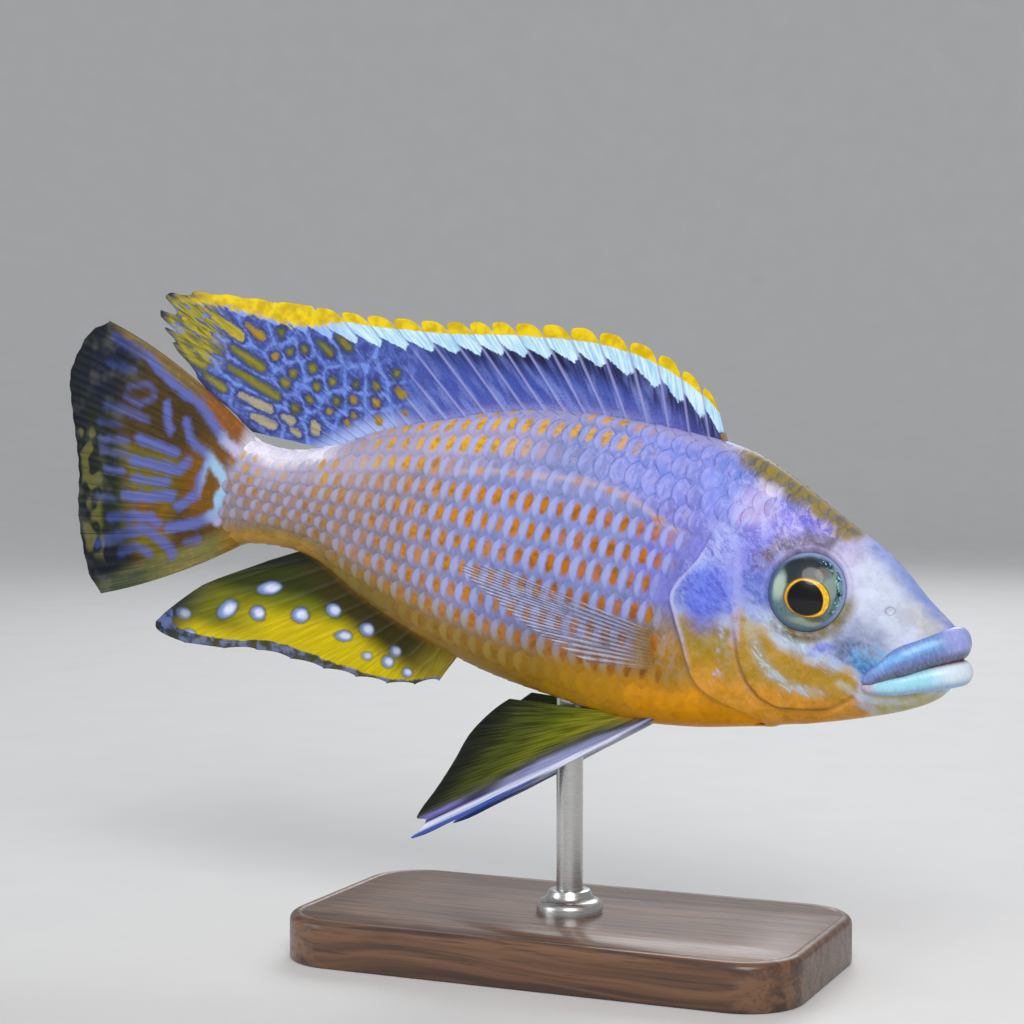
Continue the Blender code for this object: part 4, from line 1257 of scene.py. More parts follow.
def add_fin(name, rays, rows, root, tip, drop, half, colours, material, replaced,
            beside=lambda q, s, a, w: 0.0, bow=lambda q: 0.0):
    """Thin closed sheet with raised rays and a shaped margin.

    root(q) and tip(q) give side-view points, q running from the first ray to the last. drop(ray) is how
    far the margin falls short of the tips, half(ray, s) half the thickness, and colours(a, w, ray, span,
    rim) more attributes. beside(q, s, a, w) is the distance to the left of the middle. Half way along,
    a ray is raised by bow(q).
    """
    ray = np.array([i + f for i in range(rays - 1) for f in RAY_STEPS] + [rays - 1.0])
    q = ray / (rays - 1)
    s = np.linspace(0, 1, rows + 1)
    start, end = np.stack(root(q), -1), tip(q)
    full = np.hypot(*(end - start).T)
    end = end - (end - start) / full[:, None] * drop(ray)[:, None]
    length = np.hypot(*(end - start).T)
    flat = start[:, None] + (end - start)[:, None] * s[:, None]
    ray, q = ray[:, None] + 0 * flat[..., 0], q[:, None] + 0 * flat[..., 0]
    s = s + 0 * q
    a, w = flat[..., 0], flat[..., 1] + bow(q) * 4 * s * (1 - s)
    v = beside(q, s, a, w) + 0 * a
    middle = place(a, v, w)
    normal = np.cross(np.gradient(middle, axis=0), np.gradient(middle, axis=1))
    normal /= np.linalg.norm(normal, axis=-1, keepdims=True)
    thick = half(ray, s)
    span = s * length[:, None]
    rim = full[:, None] - span
    points = np.concatenate([raised(middle, normal, thick).reshape(-1, 3),
                             raised(middle, -normal, thick).reshape(-1, 3)])
    count, across = a.shape
    other = count * across
    faces = quads(count, across)
    faces += [[point + other for point in face[::-1]] for face in faces]
    outline = border(np.arange(other).reshape(count, across)).tolist()
    for first, second in zip(outline, outline[1:] + outline[:1]):
        faces.append([second, first, first + other, second + other])
    attributes = {"ray": ray, "span": span, "rim": rim, "spot": np.stack([a, w, v], -1)}
    attributes.update(colours(a, w, ray, span, rim))
    attributes = {key: np.concatenate([values.reshape(other, -1)] * 2)
                  for key, values in attributes.items()}
    return add_piece(name, points, faces, material, attributes, replaced)


def stepped(rows, x):
    """The second column of rows at x, on straight lines."""
    return np.interp(x, *np.array(rows, float).T)


def dorsal_drop(ray):
    spiny = SPINE_NOTCH * stepped(SPINE_DROP, ray % 1)
    soft = sum(depth * np.exp(-((ray - at) / half) ** 4) for at, half, depth in DORSAL_SLOTS)
    return np.where(ray < DORSAL_SPINES - 1, spiny, soft)


def dorsal_half(ray, s):
    spiny = edge(ray, 17.0, 16.0)
    strong = ridge(ray, s, 0.09, (2, 3))
    soft = ridge(ray, s, 0.09, (0.3, 0.65))
    body = 0.12 * (1 - 0.5 * s)
    return body + spiny * strong * 0.26 * (1 - 0.6 * s) + (1 - spiny) * soft * 0.2 * (1 - 0.6 * s)


# Cells of the rear of the dorsal fin: their two ends, half width, and colour from yellow to beige
YELLOW, OLIVE, GOLD, DULL, BEIGE = 0.0, 0.25, 0.5, 0.75, 1.0
DORSAL_CELLS = (
    (117.3, 22.9, 117.1, 22.9, 0.75, GOLD), (114.8, 24.0, 114.6, 24.0, 0.72, OLIVE),
    (113.5, 20.9, 113.3, 20.8, 0.85, OLIVE), (110.2, 22.2, 109.8, 22.1, 0.85, OLIVE),
    (115.0, 19.3, 114.4, 18.9, 0.9, OLIVE), (108.8, 19.5, 108.6, 19.4, 0.75, OLIVE),
    (109.8, 17.3, 109.5, 17.1, 0.7, OLIVE), (106.1, 20.8, 105.8, 20.7, 0.8, OLIVE),
    (112.5, 15.7, 111.7, 15.3, 0.8, DULL), (101.8, 21.0, 101.6, 20.9, 0.7, DULL),
    (104.9, 17.9, 104.6, 17.7, 0.8, DULL), (101.9, 18.8, 101.4, 18.4, 0.65, GOLD),
    (98.3, 21.4, 97.9, 21.1, 0.7, OLIVE), (94.0, 21.2, 93.1, 20.6, 0.7, GOLD),
    (97.8, 18.9, 97.5, 18.7, 0.7, GOLD), (105.8, 16.0, 105.6, 15.9, 0.6, GOLD),
    (101.2, 16.3, 101.1, 16.1, 0.55, GOLD), (102.3, 14.8, 102.1, 14.7, 0.6, GOLD),
    (96.7, 16.2, 96.5, 16.0, 0.85, GOLD), (94.9, 24.0, 94.7, 23.8, 0.9, DULL),
    (89.3, 23.5, 88.9, 23.2, 0.9, DULL), (112.1, 25.0, 111.9, 24.8, 0.8, DULL),
    (117.1, 27.0, 116.5, 26.7, 0.7, DULL), (109.5, 26.4, 107.0, 25.0, 0.75, DULL),
    (106.1, 27.7, 103.7, 26.3, 0.75, DULL), (92.3, 18.1, 92.1, 17.9, 0.5, GOLD),
    (108.1, 13.6, 107.6, 12.8, 1.0, BEIGE), (123.4, 27.0, 119.9, 25.4, 0.65, GOLD),
    (130.2, 27.3, 124.4, 25.0, 0.9, YELLOW), (125.6, 22.9, 119.2, 20.6, 0.8, OLIVE),
    (125.8, 19.8, 115.7, 16.7, 0.75, OLIVE), (122.8, 15.7, 116.8, 14.4, 0.75, BEIGE),
    (120.1, 12.9, 115.7, 12.0, 0.75, BEIGE), (114.0, 13.7, 112.3, 13.3, 0.7, BEIGE),
    (112.2, 12.0, 110.7, 11.5, 0.6, BEIGE), (136.0, 25.9, 131.0, 24.4, 0.95, YELLOW),
    (137.0, 22.6, 127.8, 21.9, 0.5, OLIVE), (135.4, 20.8, 130.8, 19.4, 0.95, OLIVE),
    (130.0, 17.6, 126.1, 16.2, 0.75, OLIVE),
)
# Lower edge of the yellow along the top of the dorsal fin: back, level
YELLOW_EDGE = (
    (60.0, 60.0), (100.0, 33.0), (106.0, 30.0), (109.0, 29.1), (113.5, 28.2), (119.1, 28.5),
    (124.8, 28.9), (129.8, 29.2), (136.5, 28.9), (145.0, 29.0),
)


def dorsal_colours(a, w, ray, span, rim):
    lappet = stepped(((0, 1.6), (2, 2.0), (6, 2.35), (16, 2.5), (18, 2.0), (20, 0.0)), ray)
    band = stepped(((0, 3.6), (8, 3.4), (12, 3.6), (15, 4.4), (17, 4.9), (19.4, 5.2), (20.6, 0.0)), ray)
    under = np.clip(rim - lappet - band, 0, None)
    first, second, value = capsules(a, w, DORSAL_CELLS, 0.35)
    network = np.clip(edge(a, 88, 97) * edge(rim, 3.0, 6.0) + edge(a, 104, 112), 0, 1)
    ground = washed((66, 82, 166), (
        ((26, 26, 58), edge(ray, 17, 8) * edge(under, 5.5, 0.5)),
        ((60, 58, 108), edge(ray, 6, 2) * edge(under, 6, 2) * 0.5),
        ((92, 96, 176), edge(span, 5.0, 1.5) * edge(ray, 1, 3)),
        ((136, 138, 200), edge(span, 2.8, 1.2) * edge(ray, 2, 6)),
        ((196, 200, 232), edge(span, 2.6, 1.2) * edge(ray, 18, 22)),
        ((52, 70, 150), edge(ray, 14, 17) * edge(span, 3, 6)),
        ((40, 52, 108), edge(a, 118, 134)),
    ))
    cells = np.stack([first, second - first, value], -1)
    above = w - curve(YELLOW_EDGE, a)
    frayed = edge(a, 125, 132) * edge(ray, 19.6, 20.6) * edge(w, 18.5, 20.5)
    ends = edge(rim, 3.0, 1.2) * edge(ray, 19.8, 20.4)
    return {"zone": np.stack([rim - lappet, band, above], -1), "cells": cells, "network": network,
            "paint": ground, "frayed": frayed, "tips": ends}


def dorsal_material():
    g = Graph("dorsal_fin")
    ray, span = g.number("ray"), g.number("span")
    network, frayed, ends = g.number("network"), g.number("frayed"), g.number("tips")
    spot = g.triple("spot")
    zone = g.parts(g.triple("zone"))
    cells = g.parts(g.triple("cells"))
    ground = g.colour("paint")
    f = g.fraction(ray)
    off = abs(f - 0.5)
    rough = g.noise(spot, 0.7, 3.0, 0.6) - 0.5
    fine = g.noise(spot, 2.6, 2.0, 0.6) - 0.5
    streak = g.noise(g.vector(ray * 4.0, span * 0.12, 0.0), 2.0, 3.0)
    broad = g.noise(g.vector(ray * 1.1, span * 0.06, 2.0), 2.0, 2.0)
    colour = g.mix(g.step(broad, 0.46, 0.68) * g.step(span, 14.0, 3.0, 0.25, 0.7), ground,
                   (132, 146, 212))
    colour = g.layers(colour, (
        (g.step(streak, 0.42, 0.75) * 0.45, (88, 112, 206)),
        (g.step(fine, -0.02, -0.16) * 0.35, (30, 34, 80)),
    ))
    on_ray = g.step(off, 0.4, 0.485) * g.step(network, 0.9, 0.3)
    colour = g.mix(on_ray * 0.65, colour, (160, 162, 220))
    threads = g.noise(g.vector(ray * 3.0, span * 0.2, 5.0), 1.6, 3.0, 0.6)
    near = cells[0] + (fine * 0.6 + rough * 0.9) + (threads - 0.5) * 0.9
    web = g.step(cells[1] + fine * 0.8, 0.85, 0.15)
    blue = g.mix(g.step(rough, -0.1, 0.12), (58, 72, 142), (84, 104, 186))
    blue = g.layers(blue, (
        (g.step(threads, 0.52, 0.68) * 0.7, (126, 150, 226)),
        (web * g.step(near, 0.3, 0.7) * g.step(rough, -0.16, 0.06, 0.3, 0.85), (122, 154, 236)),
        (g.step(near, 0.9, 0.15) * 0.65, (38, 46, 92)),
        (g.step(span, 5.5, 1.5), (168, 186, 236)),
    ))
    colour = g.mix(network * 0.9, colour, blue)
    tint = g.mix(g.step(cells[2], 0.05, 0.2), (190, 168, 10), (112, 110, 26))
    tint = g.layers(tint, (
        (g.step(cells[2], 0.3, 0.45), (164, 128, 20)),
        (g.step(cells[2], 0.55, 0.7), (84, 88, 52)),
        (g.step(cells[2], 0.8, 0.95), (170, 160, 146)),
        (g.step(threads, 0.54, 0.36) * 0.7, (0.5, 0.56, 0.66, 1.0), "MULTIPLY"),
        (g.step(near, -0.15, -0.6, 0.0, 0.35), (176, 160, 60)),
    ))
    colour = g.layers(colour, (
        (g.step(near, 0.24, -0.26) * g.step(network, 0.0, 0.3), tint),
        (frayed * g.step(threads, 0.62, 0.5),
         g.mix(g.step(streak, 0.35, 0.6), (96, 96, 34), (166, 156, 40))),
    ))
    shape = abs(f - 0.36)
    limit = zone[1] * (1.16 - shape * 0.95)
    below = zone[0] - (limit + (rough * 1.4 + fine * 1.0))
    white = g.step(below, 0.22, -0.22) * g.step(zone[1], 0.3, 1.2)
    seam = g.step(off, 0.42, 0.48)
    pale = g.mix(g.step(streak, 0.35, 0.65), (160, 208, 238), (216, 242, 250))
    pale = g.layers(pale, (
        (seam * 0.6, (140, 160, 214)),
        (g.step(ray, 14.5, 17.5), (124, 160, 242)),
    ))
    colour = g.mix(white, colour, pale)
    yellow = g.mix(g.step(g.noise(spot, 0.5, 2.0), 0.35, 0.65), (206, 172, 4), (238, 208, 16))
    top = g.step(zone[0] + rough * 0.7, 0.22, -0.22)
    high = zone[2] + (rough * 1.6 + (threads - 0.5) * 3.0)
    yellow = g.mix(frayed * g.step(streak, 0.6, 0.4), yellow, (160, 152, 56))
    colour = g.layers(colour, (
        (g.most(top, g.step(high, -0.4, 0.4)), yellow),
        (ends * g.step(threads, 0.4, 0.6, 0.6, 1.0), (38, 42, 74)),
    ))
    crown = g.step(ray, 0.5, 0.2) * g.step(span, 3.0, 2.0)
    colour = g.mix(crown * g.step(rough, -0.2, 0.1), colour, (168, 132, 58))
    return g.finish(colour, 0.42, (streak, 0.2, 0.00012), (0.07, 0.2), 0.16)


def make_dorsal_fin():
    last = DORSAL_RAYS[-1][0]

    def root(q):
        a = curve(DORSAL_RAYS, q * last)
        return a, section(a)[0] - ROOT_DEPTH

    return add_fin("dorsal_sheet", last + 1, 64, root, tips(DORSAL_RAYS, last), dorsal_drop, dorsal_half,
                   dorsal_colours, dorsal_material(), ["dorsal_fin"])


# Egg spots: back, level, half length, half height, turn, strength
EGG_SPOTS = (
    (111.9, -13.7, 2.3, 1.02, -20, 1.0), (119.4, -18.7, 2.1, 1.25, -42, 1.0),
    (113.5, -18.1, 1.4, 1.2, 0, 1.0), (105.5, -16.7, 1.55, 1.2, -10, 1.0),
    (99.6, -14.7, 1.4, 1.05, 0, 0.85), (93.2, -16.4, 1.3, 1.05, 0, 0.75),
    (97.1, -18.3, 1.5, 0.85, -8, 0.9), (92.5, -20.5, 1.0, 0.7, -10, 0.6),
    (88.7, -20.6, 1.05, 0.95, 0, 0.85), (87.6, -18.7, 1.0, 0.9, 0, 0.55),
    (85.1, -21.5, 0.9, 0.75, 0, 0.8),
    (127.9, -21.2, 1.6, 1.0, 0, 0.4), (126.1, -24.3, 1.3, 0.9, 0, 0.75),
)


def anal_colours(a, w, ray, span, rim):
    egg = np.full(a.shape, 3.0)
    core = np.full(a.shape, 3.0)
    strength = np.zeros(a.shape)
    for back, level, length, height, turn, amount in EGG_SPOTS:
        reach = ellipse(a, w, (back, level), (length, height), turn)
        bright = ellipse(a, w, (back - 0.16 * length, level + 0.08), (0.8 * length, 0.78 * height), turn)
        strength = np.where(reach < egg, amount, strength)
        core = np.where(reach < egg, bright, core)
        egg = np.minimum(egg, reach)
    ground = washed((212, 190, 2), (
        ((120, 124, 12), edge(w + 0.06 * (a - 100), -18.2, -14.6) * edge(a, 92, 100)),
        ((116, 116, 16), edge(a, 110, 122) * edge(w, -23.5, -20.5)),
        ((50, 58, 14), edge(w + 0.10 * (a - 100), -14.8, -11.8)),
        ((58, 52, 12), edge(span, 9.6, 5.0) * edge(a, 112, 100)),
        ((28, 34, 24), edge(w + 0.30 * (a - 110), -10.6, -8.8)),
        ((34, 40, 46), edge(a + 0.5 * (w + 22), 124, 131)),
        ((118, 86, 18), edge(span, 2.6, 1.0)),
        ((170, 152, 40), edge(ray, 2.6, 0.4) * 0.7),
    ))
    return {"paint": ground, "egg": np.stack([egg, strength, core], -1)}


def anal_material():
    g = Graph("anal_fin")
    ray, span, rim = g.number("ray"), g.number("span"), g.number("rim")
    spot = g.triple("spot")
    egg = g.parts(g.triple("egg"))
    ground = g.colour("paint")
    rough = g.noise(spot, 0.6, 3.0, 0.6) - 0.5
    streak = g.noise(g.vector(ray * 5.0, span * 0.1, 0.0), 2.0, 3.0)
    colour = g.mix(g.step(streak, 0.35, 0.7), g.tinted(ground, (0.78, 0.79, 0.72)), ground)
    reach, strength, core = egg
    colour = g.layers(colour, (
        (g.step(reach + rough * 0.5, 1.45, 1.0) * 0.7 * strength, (46, 68, 44)),
        (g.step(reach + rough * 0.4, 1.2, 0.76) * strength, (122, 144, 198)),
        (g.step(core + rough * 0.4, 1.15, 0.35) * strength, (220, 226, 252)),
    ))
    a, w, _ = g.parts(spot)
    band = g.step(a, 88.0, 114.0, 1.1, 4.0) * g.step(w, -19.6, -21.8)
    edge_mask = g.step(rim + rough * 1.8 - band, 0.25, -0.25)
    lobes = g.step(g.noise(spot, 0.5, 2.0), 0.42, 0.6)
    colour = g.mix(edge_mask * 0.92, colour, g.mix(lobes, (30, 44, 52), (94, 108, 158)))
    return g.finish(colour, 0.42, (streak, 0.2, 0.00012), (0.04, 0.2), 0.12)


def simple_drop(notch):
    """Margin with a notch of this depth between each two rays."""
    return lambda ray: notch * (4 * (ray % 1) * (1 - ray % 1)) ** 0.7


def soft_half(base, rise, fork, width=0.1):
    """Half thickness of a fin with soft rays, thinner towards the margin."""
    return lambda ray, s: (base + rise * ridge(ray, s, width, fork)) * (1 - 0.6 * s)


def make_anal_fin():
    def root(q):
        a = between(ANAL_ROOTS, q)
        return a, section(a)[1] + ROOT_DEPTH

    return add_fin("anal_sheet", 12, 60, root, tips(ANAL_TIPS), simple_drop(0.7),
                   soft_half(0.12, 0.2, (0.3, 0.7)), anal_colours, anal_material(),
                   ["anal_fin"])


# Pale dashes of the tail fin: half width, strength, and points back from the snout and level
CAUDAL_DASHES = (
    (0.72, 1.0, ((149.9, 20.9), (142.5, 19.0), (137.6, 16.0), (133.4, 14.0), (130.4, 13.0))),
    (0.8, 1.0, ((130.4, 13.0), (127.2, 10.5), (123.4, 7.8), (120.6, 6.9))),
    (0.7, 1.0, ((137.1, 11.7), (136.6, 10.1), (135.7, 7.7))),
    (0.7, 1.0, ((132.6, 9.6), (131.5, 7.1), (128.2, 5.6), (126.2, 4.9))),
    (0.72, 1.0, ((142.1, 5.3), (138.6, 4.9), (134.1, 4.4))),
    (0.75, 1.0, ((142.9, 1.5), (137.0, 1.6), (132.7, 1.6), (131.1, 3.4))),
    (0.55, 1.0, ((141.9, -1.4), (138.5, -1.2), (134.7, -0.7))),
    (0.8, 1.0, ((143.3, -4.6), (138.5, -3.9), (133.4, -2.7))),
    (0.75, 1.0, ((132.1, -4.2), (130.0, -2.8), (128.4, -1.4), (128.2, 0.5), (126.9, 3.8))),
    (0.95, 1.0, ((126.1, 4.3), (123.0, 2.6), (122.2, 0.9), (123.2, -1.6), (123.1, -4.6))),
    (0.7, 1.0, ((145.6, -8.7), (140.3, -7.5), (137.4, -7.1), (135.4, -7.7))),
    (0.75, 1.0, ((133.4, -8.3), (129.3, -6.7), (125.4, -5.0), (123.3, -3.5))),
    (0.8, 0.9, ((147.8, -13.4), (144.1, -11.7), (139.5, -9.5), (136.1, -9.4), (132.9, -11.0),
                (131.8, -12.0))),
    (0.6, 0.8, ((142.6, -14.2), (139.5, -12.4), (136.4, -12.9))),
    (0.55, 0.6, ((129.3, -9.6), (126.6, -8.7))),
    (0.45, 0.6, ((145.3, 13.4), (140.9, 14.4), (139.9, 12.6), (142.6, 10.9), (146.0, 11.6))),
    (0.6, 0.7, ((149.9, 9.5), (145.3, 9.3), (140.7, 8.6))),
    (0.55, 0.7, ((149.9, 3.9), (144.4, 4.5))), (0.5, 0.6, ((149.5, 2.0), (144.0, 2.2))),
    (0.5, 0.8, ((148.0, -1.0), (144.5, -0.6))), (0.6, 0.5, ((150.5, 16.5), (145.0, 16.2))),
    (0.5, 0.6, ((149.0, -5.8), (145.6, -5.4))), (0.45, 0.5, ((150.8, 6.6), (146.0, 6.9))),
)


def caudal_colours(a, w, ray, span, rim):
    rows = [(*start, *end, 1.12 * half, strength) for half, strength, line in CAUDAL_DASHES
            for start, end in zip(line, line[1:])]
    first, _, strength = capsules(a, w, rows)
    gold = edge(a, 131, 135) * edge(a, 149, 145) * edge(w, 5.5, 3.0) * edge(w, -15, -12)
    ground = washed((90, 64, 16), (
        ((140, 92, 12), patch(a, w, (126, 1), (7, 6.5), 0, 0.4)),
        ((90, 64, 18), patch(a, w, (136, 14), (9, 4.5), 25)),
        ((74, 60, 24), edge(a, 126, 132) * edge(w, 5, 7) * 0.5),
        ((126, 112, 4), gold),
        ((136, 94, 6), gold * patch(a, w, (137, -7), (5, 3))),
        ((32, 42, 20), edge(rim, 13, 8)),
        ((12, 24, 50), edge(rim, 17, 8) * edge(w, 7, 12)),
        ((12, 22, 34), edge(rim, 6, 1.5)),
        ((8, 16, 34), edge(a, 136, 146) * edge(w, -10, -14)),
        ((140, 130, 72), edge(w + 0.535 * (a - 120.2), -4.2, -6.6) * edge(a, 146, 136)),
        ((82, 88, 64), edge(w + 0.535 * (a - 120.2), -4.2, -7.2) * edge(a, 130, 140)),
        ((146, 118, 66), edge(w - 0.463 * (a - 120.2), 7.4, 8.8) * edge(a, 153, 146)),
        ((158, 96, 40), edge(w - 0.463 * (a - 120.2), 7.0, 8.4) * edge(a, 133, 127)),
        ((186, 178, 214), edge(span, 5.2, 1.6) * edge(w, -6.0, -4.4) * edge(w, 6.4, 5.4)),
        ((230, 224, 242), edge(span, 3.6, 0.6) * edge(w, 5.2, 6.4)),
        ((166, 122, 36), edge(span, 6.0, 1.2) * edge(w, -4.6, -6.2)),
        *(((190, 124, 30), patch(a, w, at, (0.75, 1.0), 0, 0.35))
          for at in ((121.2, 5.6), (121.0, 1.3), (122.9, -0.6), (121.8, -3.9), (120.9, -1.8))),
    ))
    dash = washed((96, 108, 180), (
        ((164, 206, 240), patch(a, w, (124, 1.4), (3.4, 6))),
        ((196, 190, 226), edge(a, 126, 122) * edge(np.abs(w), 3, 6)),
        ((92, 102, 170), edge(w, -6, -12)),
        ((56, 72, 136), edge(rim, 14, 9) * edge(np.abs(w), 3, 8)),
        ((92, 100, 166), edge(rim, 13, 8) * edge(np.abs(w), 8, 3)),
    ))
    blocks = edge(rim, 6.0, 4.6) * edge(rim, 0.7, 1.2) * edge(w, 6.5, 4.5) * edge(w, -17, -14)
    return {"paint": ground, "fleck": dash, "dash": np.stack([first, strength, blocks], -1)}


def caudal_material():
    g = Graph("caudal_fin")
    ray, span = g.number("ray"), g.number("span")
    spot = g.triple("spot")
    ground, pale = g.colour("paint"), g.colour("fleck")
    reach, strength, blocks = g.parts(g.triple("dash"))
    rough = g.noise(spot, 0.5, 2.0, 0.6) - 0.5
    streak = g.noise(g.vector(ray * 6.0, span * 0.08, 0.0), 2.0, 3.0)
    colour = g.mix(g.step(streak, 0.3, 0.7), g.tinted(ground, (0.62, 0.62, 0.66)), ground)
    colour = g.mix(g.step(rough, 0.14, -0.02, 0.0, 0.5), colour, (0.6, 0.7, 0.6, 1.0), "MULTIPLY")
    mask = g.step(reach + rough * 1.6, 0.62, -0.62) * (strength * 0.95)
    colour = g.mix(mask, colour, g.mix(g.step(streak, 0.3, 0.7), g.tinted(pale, (0.84, 0.84, 0.9)), pale))
    check = g.noise(g.vector(ray * 0.9, span * 0.42, 3.0), 1.0, 0.0)
    haze = g.step(g.noise(spot, 0.22, 2.0), 0.46, 0.66, 0.0, 0.35)
    shaft = g.step(abs(g.fraction(ray) - 0.5), 0.455, 0.49)
    colour = g.layers(colour, (
        (g.step(check, 0.46, 0.58) * blocks * 0.6, (118, 116, 52)),
        (haze * g.step(span, 22.0, 30.0), (104, 104, 92)),
        (shaft * (g.step(span, 16.0, 26.0) * 0.6), (20, 26, 30)),
    ))
    return g.finish(colour, 0.45, (streak, 0.25, 0.00015), (0.03, 0.2), 0.12)


def caudal_half(ray, s):
    level = between(CAUDAL_FLESH, ray / (CAUDAL_RAYS - 1))
    fleshy = flank(np.full_like(level, BODY_END - 0.2), level) + 0.06
    beyond = np.clip(s - FLESH_START, 0, 1) / FLESH_REACH
    fleshy = fleshy * np.clip(1 - beyond, 0, 1) ** TAIL_THIN_POWER
    thin = (0.13 + 0.2 * ridge(ray, s, 0.1, (0.25, 0.6))) * (1 - 0.6 * s)
    return np.maximum(fleshy, thin)


def make_caudal_fin():
    def root(q):
        return BODY_END - CAUDAL_INSET + 0 * q, between(CAUDAL_ROOTS, q)

    def bow(q):
        return 1.7 * edge(q, 0.4, 0.0) - 1.0 * edge(q, 0.7, 1.0)

    return add_fin("caudal_sheet", CAUDAL_RAYS, 80, root, tips(CAUDAL_TIPS), simple_drop(0.25),
                   caudal_half, caudal_colours, caudal_material(), ["caudal_fin"], bow=bow)


def pectoral_material():
    g = Graph("pectoral_fin")
    ray, span = g.number("ray"), g.number("span")
    spot = g.triple("spot")
    fork = g.step(span, 10.0, 16.0)
    single = abs(g.fraction(ray + 0.25) - 0.5)
    double = abs(g.fraction(ray * 2.0) - 0.5)
    across = single * (1.0 - fork) + double * fork
    glints = g.noise(g.vector(ray * 1.0, span * 0.25, 0.0), 1.4, 2.0)
    # Painted glints of light: white along the rays where the glints noise is high
    white = g.step(across, 0.24, 0.12) * g.step(glints, 0.34, 0.55, 0.35, 1.0)
    dark = g.step(across, 0.3, 0.44) * g.step(glints, 0.66, 0.45, 0.35, 1.0)
    root = g.step(span + g.noise(spot, 0.8, 2.0) * 2.0, 6.5, 1.5)
    colour = g.mix(white, (150, 140, 156), (196, 202, 222))
    colour = g.layers(colour, (
        (dark, (96, 70, 56)),
        (root * 0.85, (184, 140, 34)),
    ))
    alpha = 0.1 + (white * 0.38 + dark * 0.48)
    alpha = g.most(alpha, root * 0.85) * g.step(span, 0.2, 2.6, 0.05, 1.0)
    return g.finish(colour, 0.38, None, (0.15, 0.2), 0.3, Alpha=alpha)


def make_pectoral_fin(word, side, material):
    def beside(q, s, a, w):
        rise = edge(s, 0.0, 0.12)
        return side * (flank(a, w) - 0.5 + 1.25 * rise + PECTORAL_FLARE * s)

    def root(q):
        return PECTORAL_BASE + 0 * q, between(PECTORAL_ROOTS, q)

    return add_fin("pectoral_sheet_" + word, 13, 50, root, tips(PECTORAL_TIPS), simple_drop(0.6),
                   soft_half(0.07, 0.16, (0.3, 0.7)), lambda *_: {}, material,
                   ["pectoral_fin_" + word], beside)


# Leading margin of a pelvic fin
PELVIC_MARGIN = ((41.0, -19.0), (61.5, -33.6), (76.8, -44.8))


def pelvic_colours(a, w, ray, span, rim):
    share = span / (span + rim)
    inside = np.abs(nearest(PELVIC_MARGIN, a, w)[0])
    band = stepped(((0, 1.2), (0.2, 2.4), (0.45, 2.7), (0.7, 2.0), (1, 1.6)), share)
    ground = washed((118, 124, 14), (
        ((156, 150, 36), edge(share, 0.45, 0.1)),
        ((78, 86, 22), edge(rim, 17, 9)),
        ((34, 38, 28), edge(rim, 9, 1.5)),
        ((204, 150, 40), edge(span, 3.4, 1.2)),
        ((86, 86, 74), edge(inside, band + 1.7, band + 0.2)),
        ((150, 154, 196), edge(inside, band + 0.3, band - 0.5) * edge(share, 0.72, 0.55)),
        ((58, 54, 104), edge(inside, band + 0.3, band - 0.5) * edge(share, 0.55, 0.72)),
        ((124, 118, 200), edge(np.abs(inside - 1.9), 0.5, 0.2) * edge(share, 0.72, 0.86)),
        ((10, 14, 26), edge(np.abs(inside - 1.15), 0.35, 0.15) * edge(share, 0.72, 0.84)),
        ((226, 232, 255), edge(np.abs(inside - 0.75), 0.6, 0.2)),
        ((56, 92, 190), edge(inside, 0.35, 0.1)),
    ))
    return {"paint": ground, "margin": inside}


def pelvic_material():
    g = Graph("pelvic_fin")
    ray, span, inside = g.number("ray"), g.number("span"), g.number("margin")
    ground = g.colour("paint")
    streak = g.noise(g.vector(ray * 9.0, span * 0.08, 0.0), 2.0, 3.0)
    shaded = g.tinted(ground, (0.38, 0.38, 0.42))
    colour = g.mix(g.step(streak, 0.4, 0.62) * g.step(inside, 0.8, 3.0, 0.3, 1.0), ground, shaded)
    lit = g.step(streak, 0.34, 0.24) * g.step(span, 22.0, 8.0)
    colour = g.mix(lit * 0.6, colour, (176, 184, 168))
    return g.finish(colour, 0.42, (streak, 0.25, 0.00015), (0.04, 0.2), 0.12)


def make_pelvic_fin(word, side, material):
    def root(q):
        a = between(PELVIC_ROOTS, q)
        return a, belly(a, between(PELVIC_ROOT_BESIDE, q)) + 0.7

    def beside(q, s, a, w):
        start, end = between(PELVIC_ROOT_BESIDE, q), between(PELVIC_TIP_BESIDE, q)
        return side * (start + (end - start) * s)

    def drop(ray):
        notches = 0.15 * (4 * (ray % 1) * (1 - ray % 1)) + 3.2 * np.exp(-((ray - 1.45) / 0.3) ** 4)
        return notches + 2.4 * np.clip((ray - 3.5) / 1.5, 0, 1) ** 3

    return add_fin("pelvic_sheet_" + word, 6, 70, root, tips(PELVIC_TIPS), drop,
                   soft_half(0.14, 0.24, (0.2, 0.6), 0.12), pelvic_colours, material,
                   ["pelvic_fin_" + word], beside)


STAND_HALF = (40.0, 21.0)
STAND_CORNER = 9.0
STAND_TOP = 7.0
CORNER_STEPS = 13
ROD_RADIUS = 2.0
ROD_HEIGHTS = (STAND_TOP - 0.1, 20.0, 38.0)
# Edge of the base: inwards, up. Collar: radius, height over the base
BASE_EDGE = ((0.5, 0.0), (0.12, 0.14), (0.0, 0.5), (0.0, 5.8), (0.08, 6.24), (0.32, 6.62), (0.72, 6.9),
             (1.2, 7.0), (1.5, 7.0), (1.7, 6.86), (1.95, 6.86), (2.15, 7.0), (12.0, 7.0))
COLLAR = ((5.0, 0.0), (5.0, 1.15), (4.86, 1.42), (4.5, 1.85), (4.1, 2.02), (3.75, 2.2), (3.5, 2.45),
          (3.34, 2.8), (3.2, 3.2), (3.06, 3.42), (2.85, 3.5), (2.04, 3.5), (2.04, 0.0))


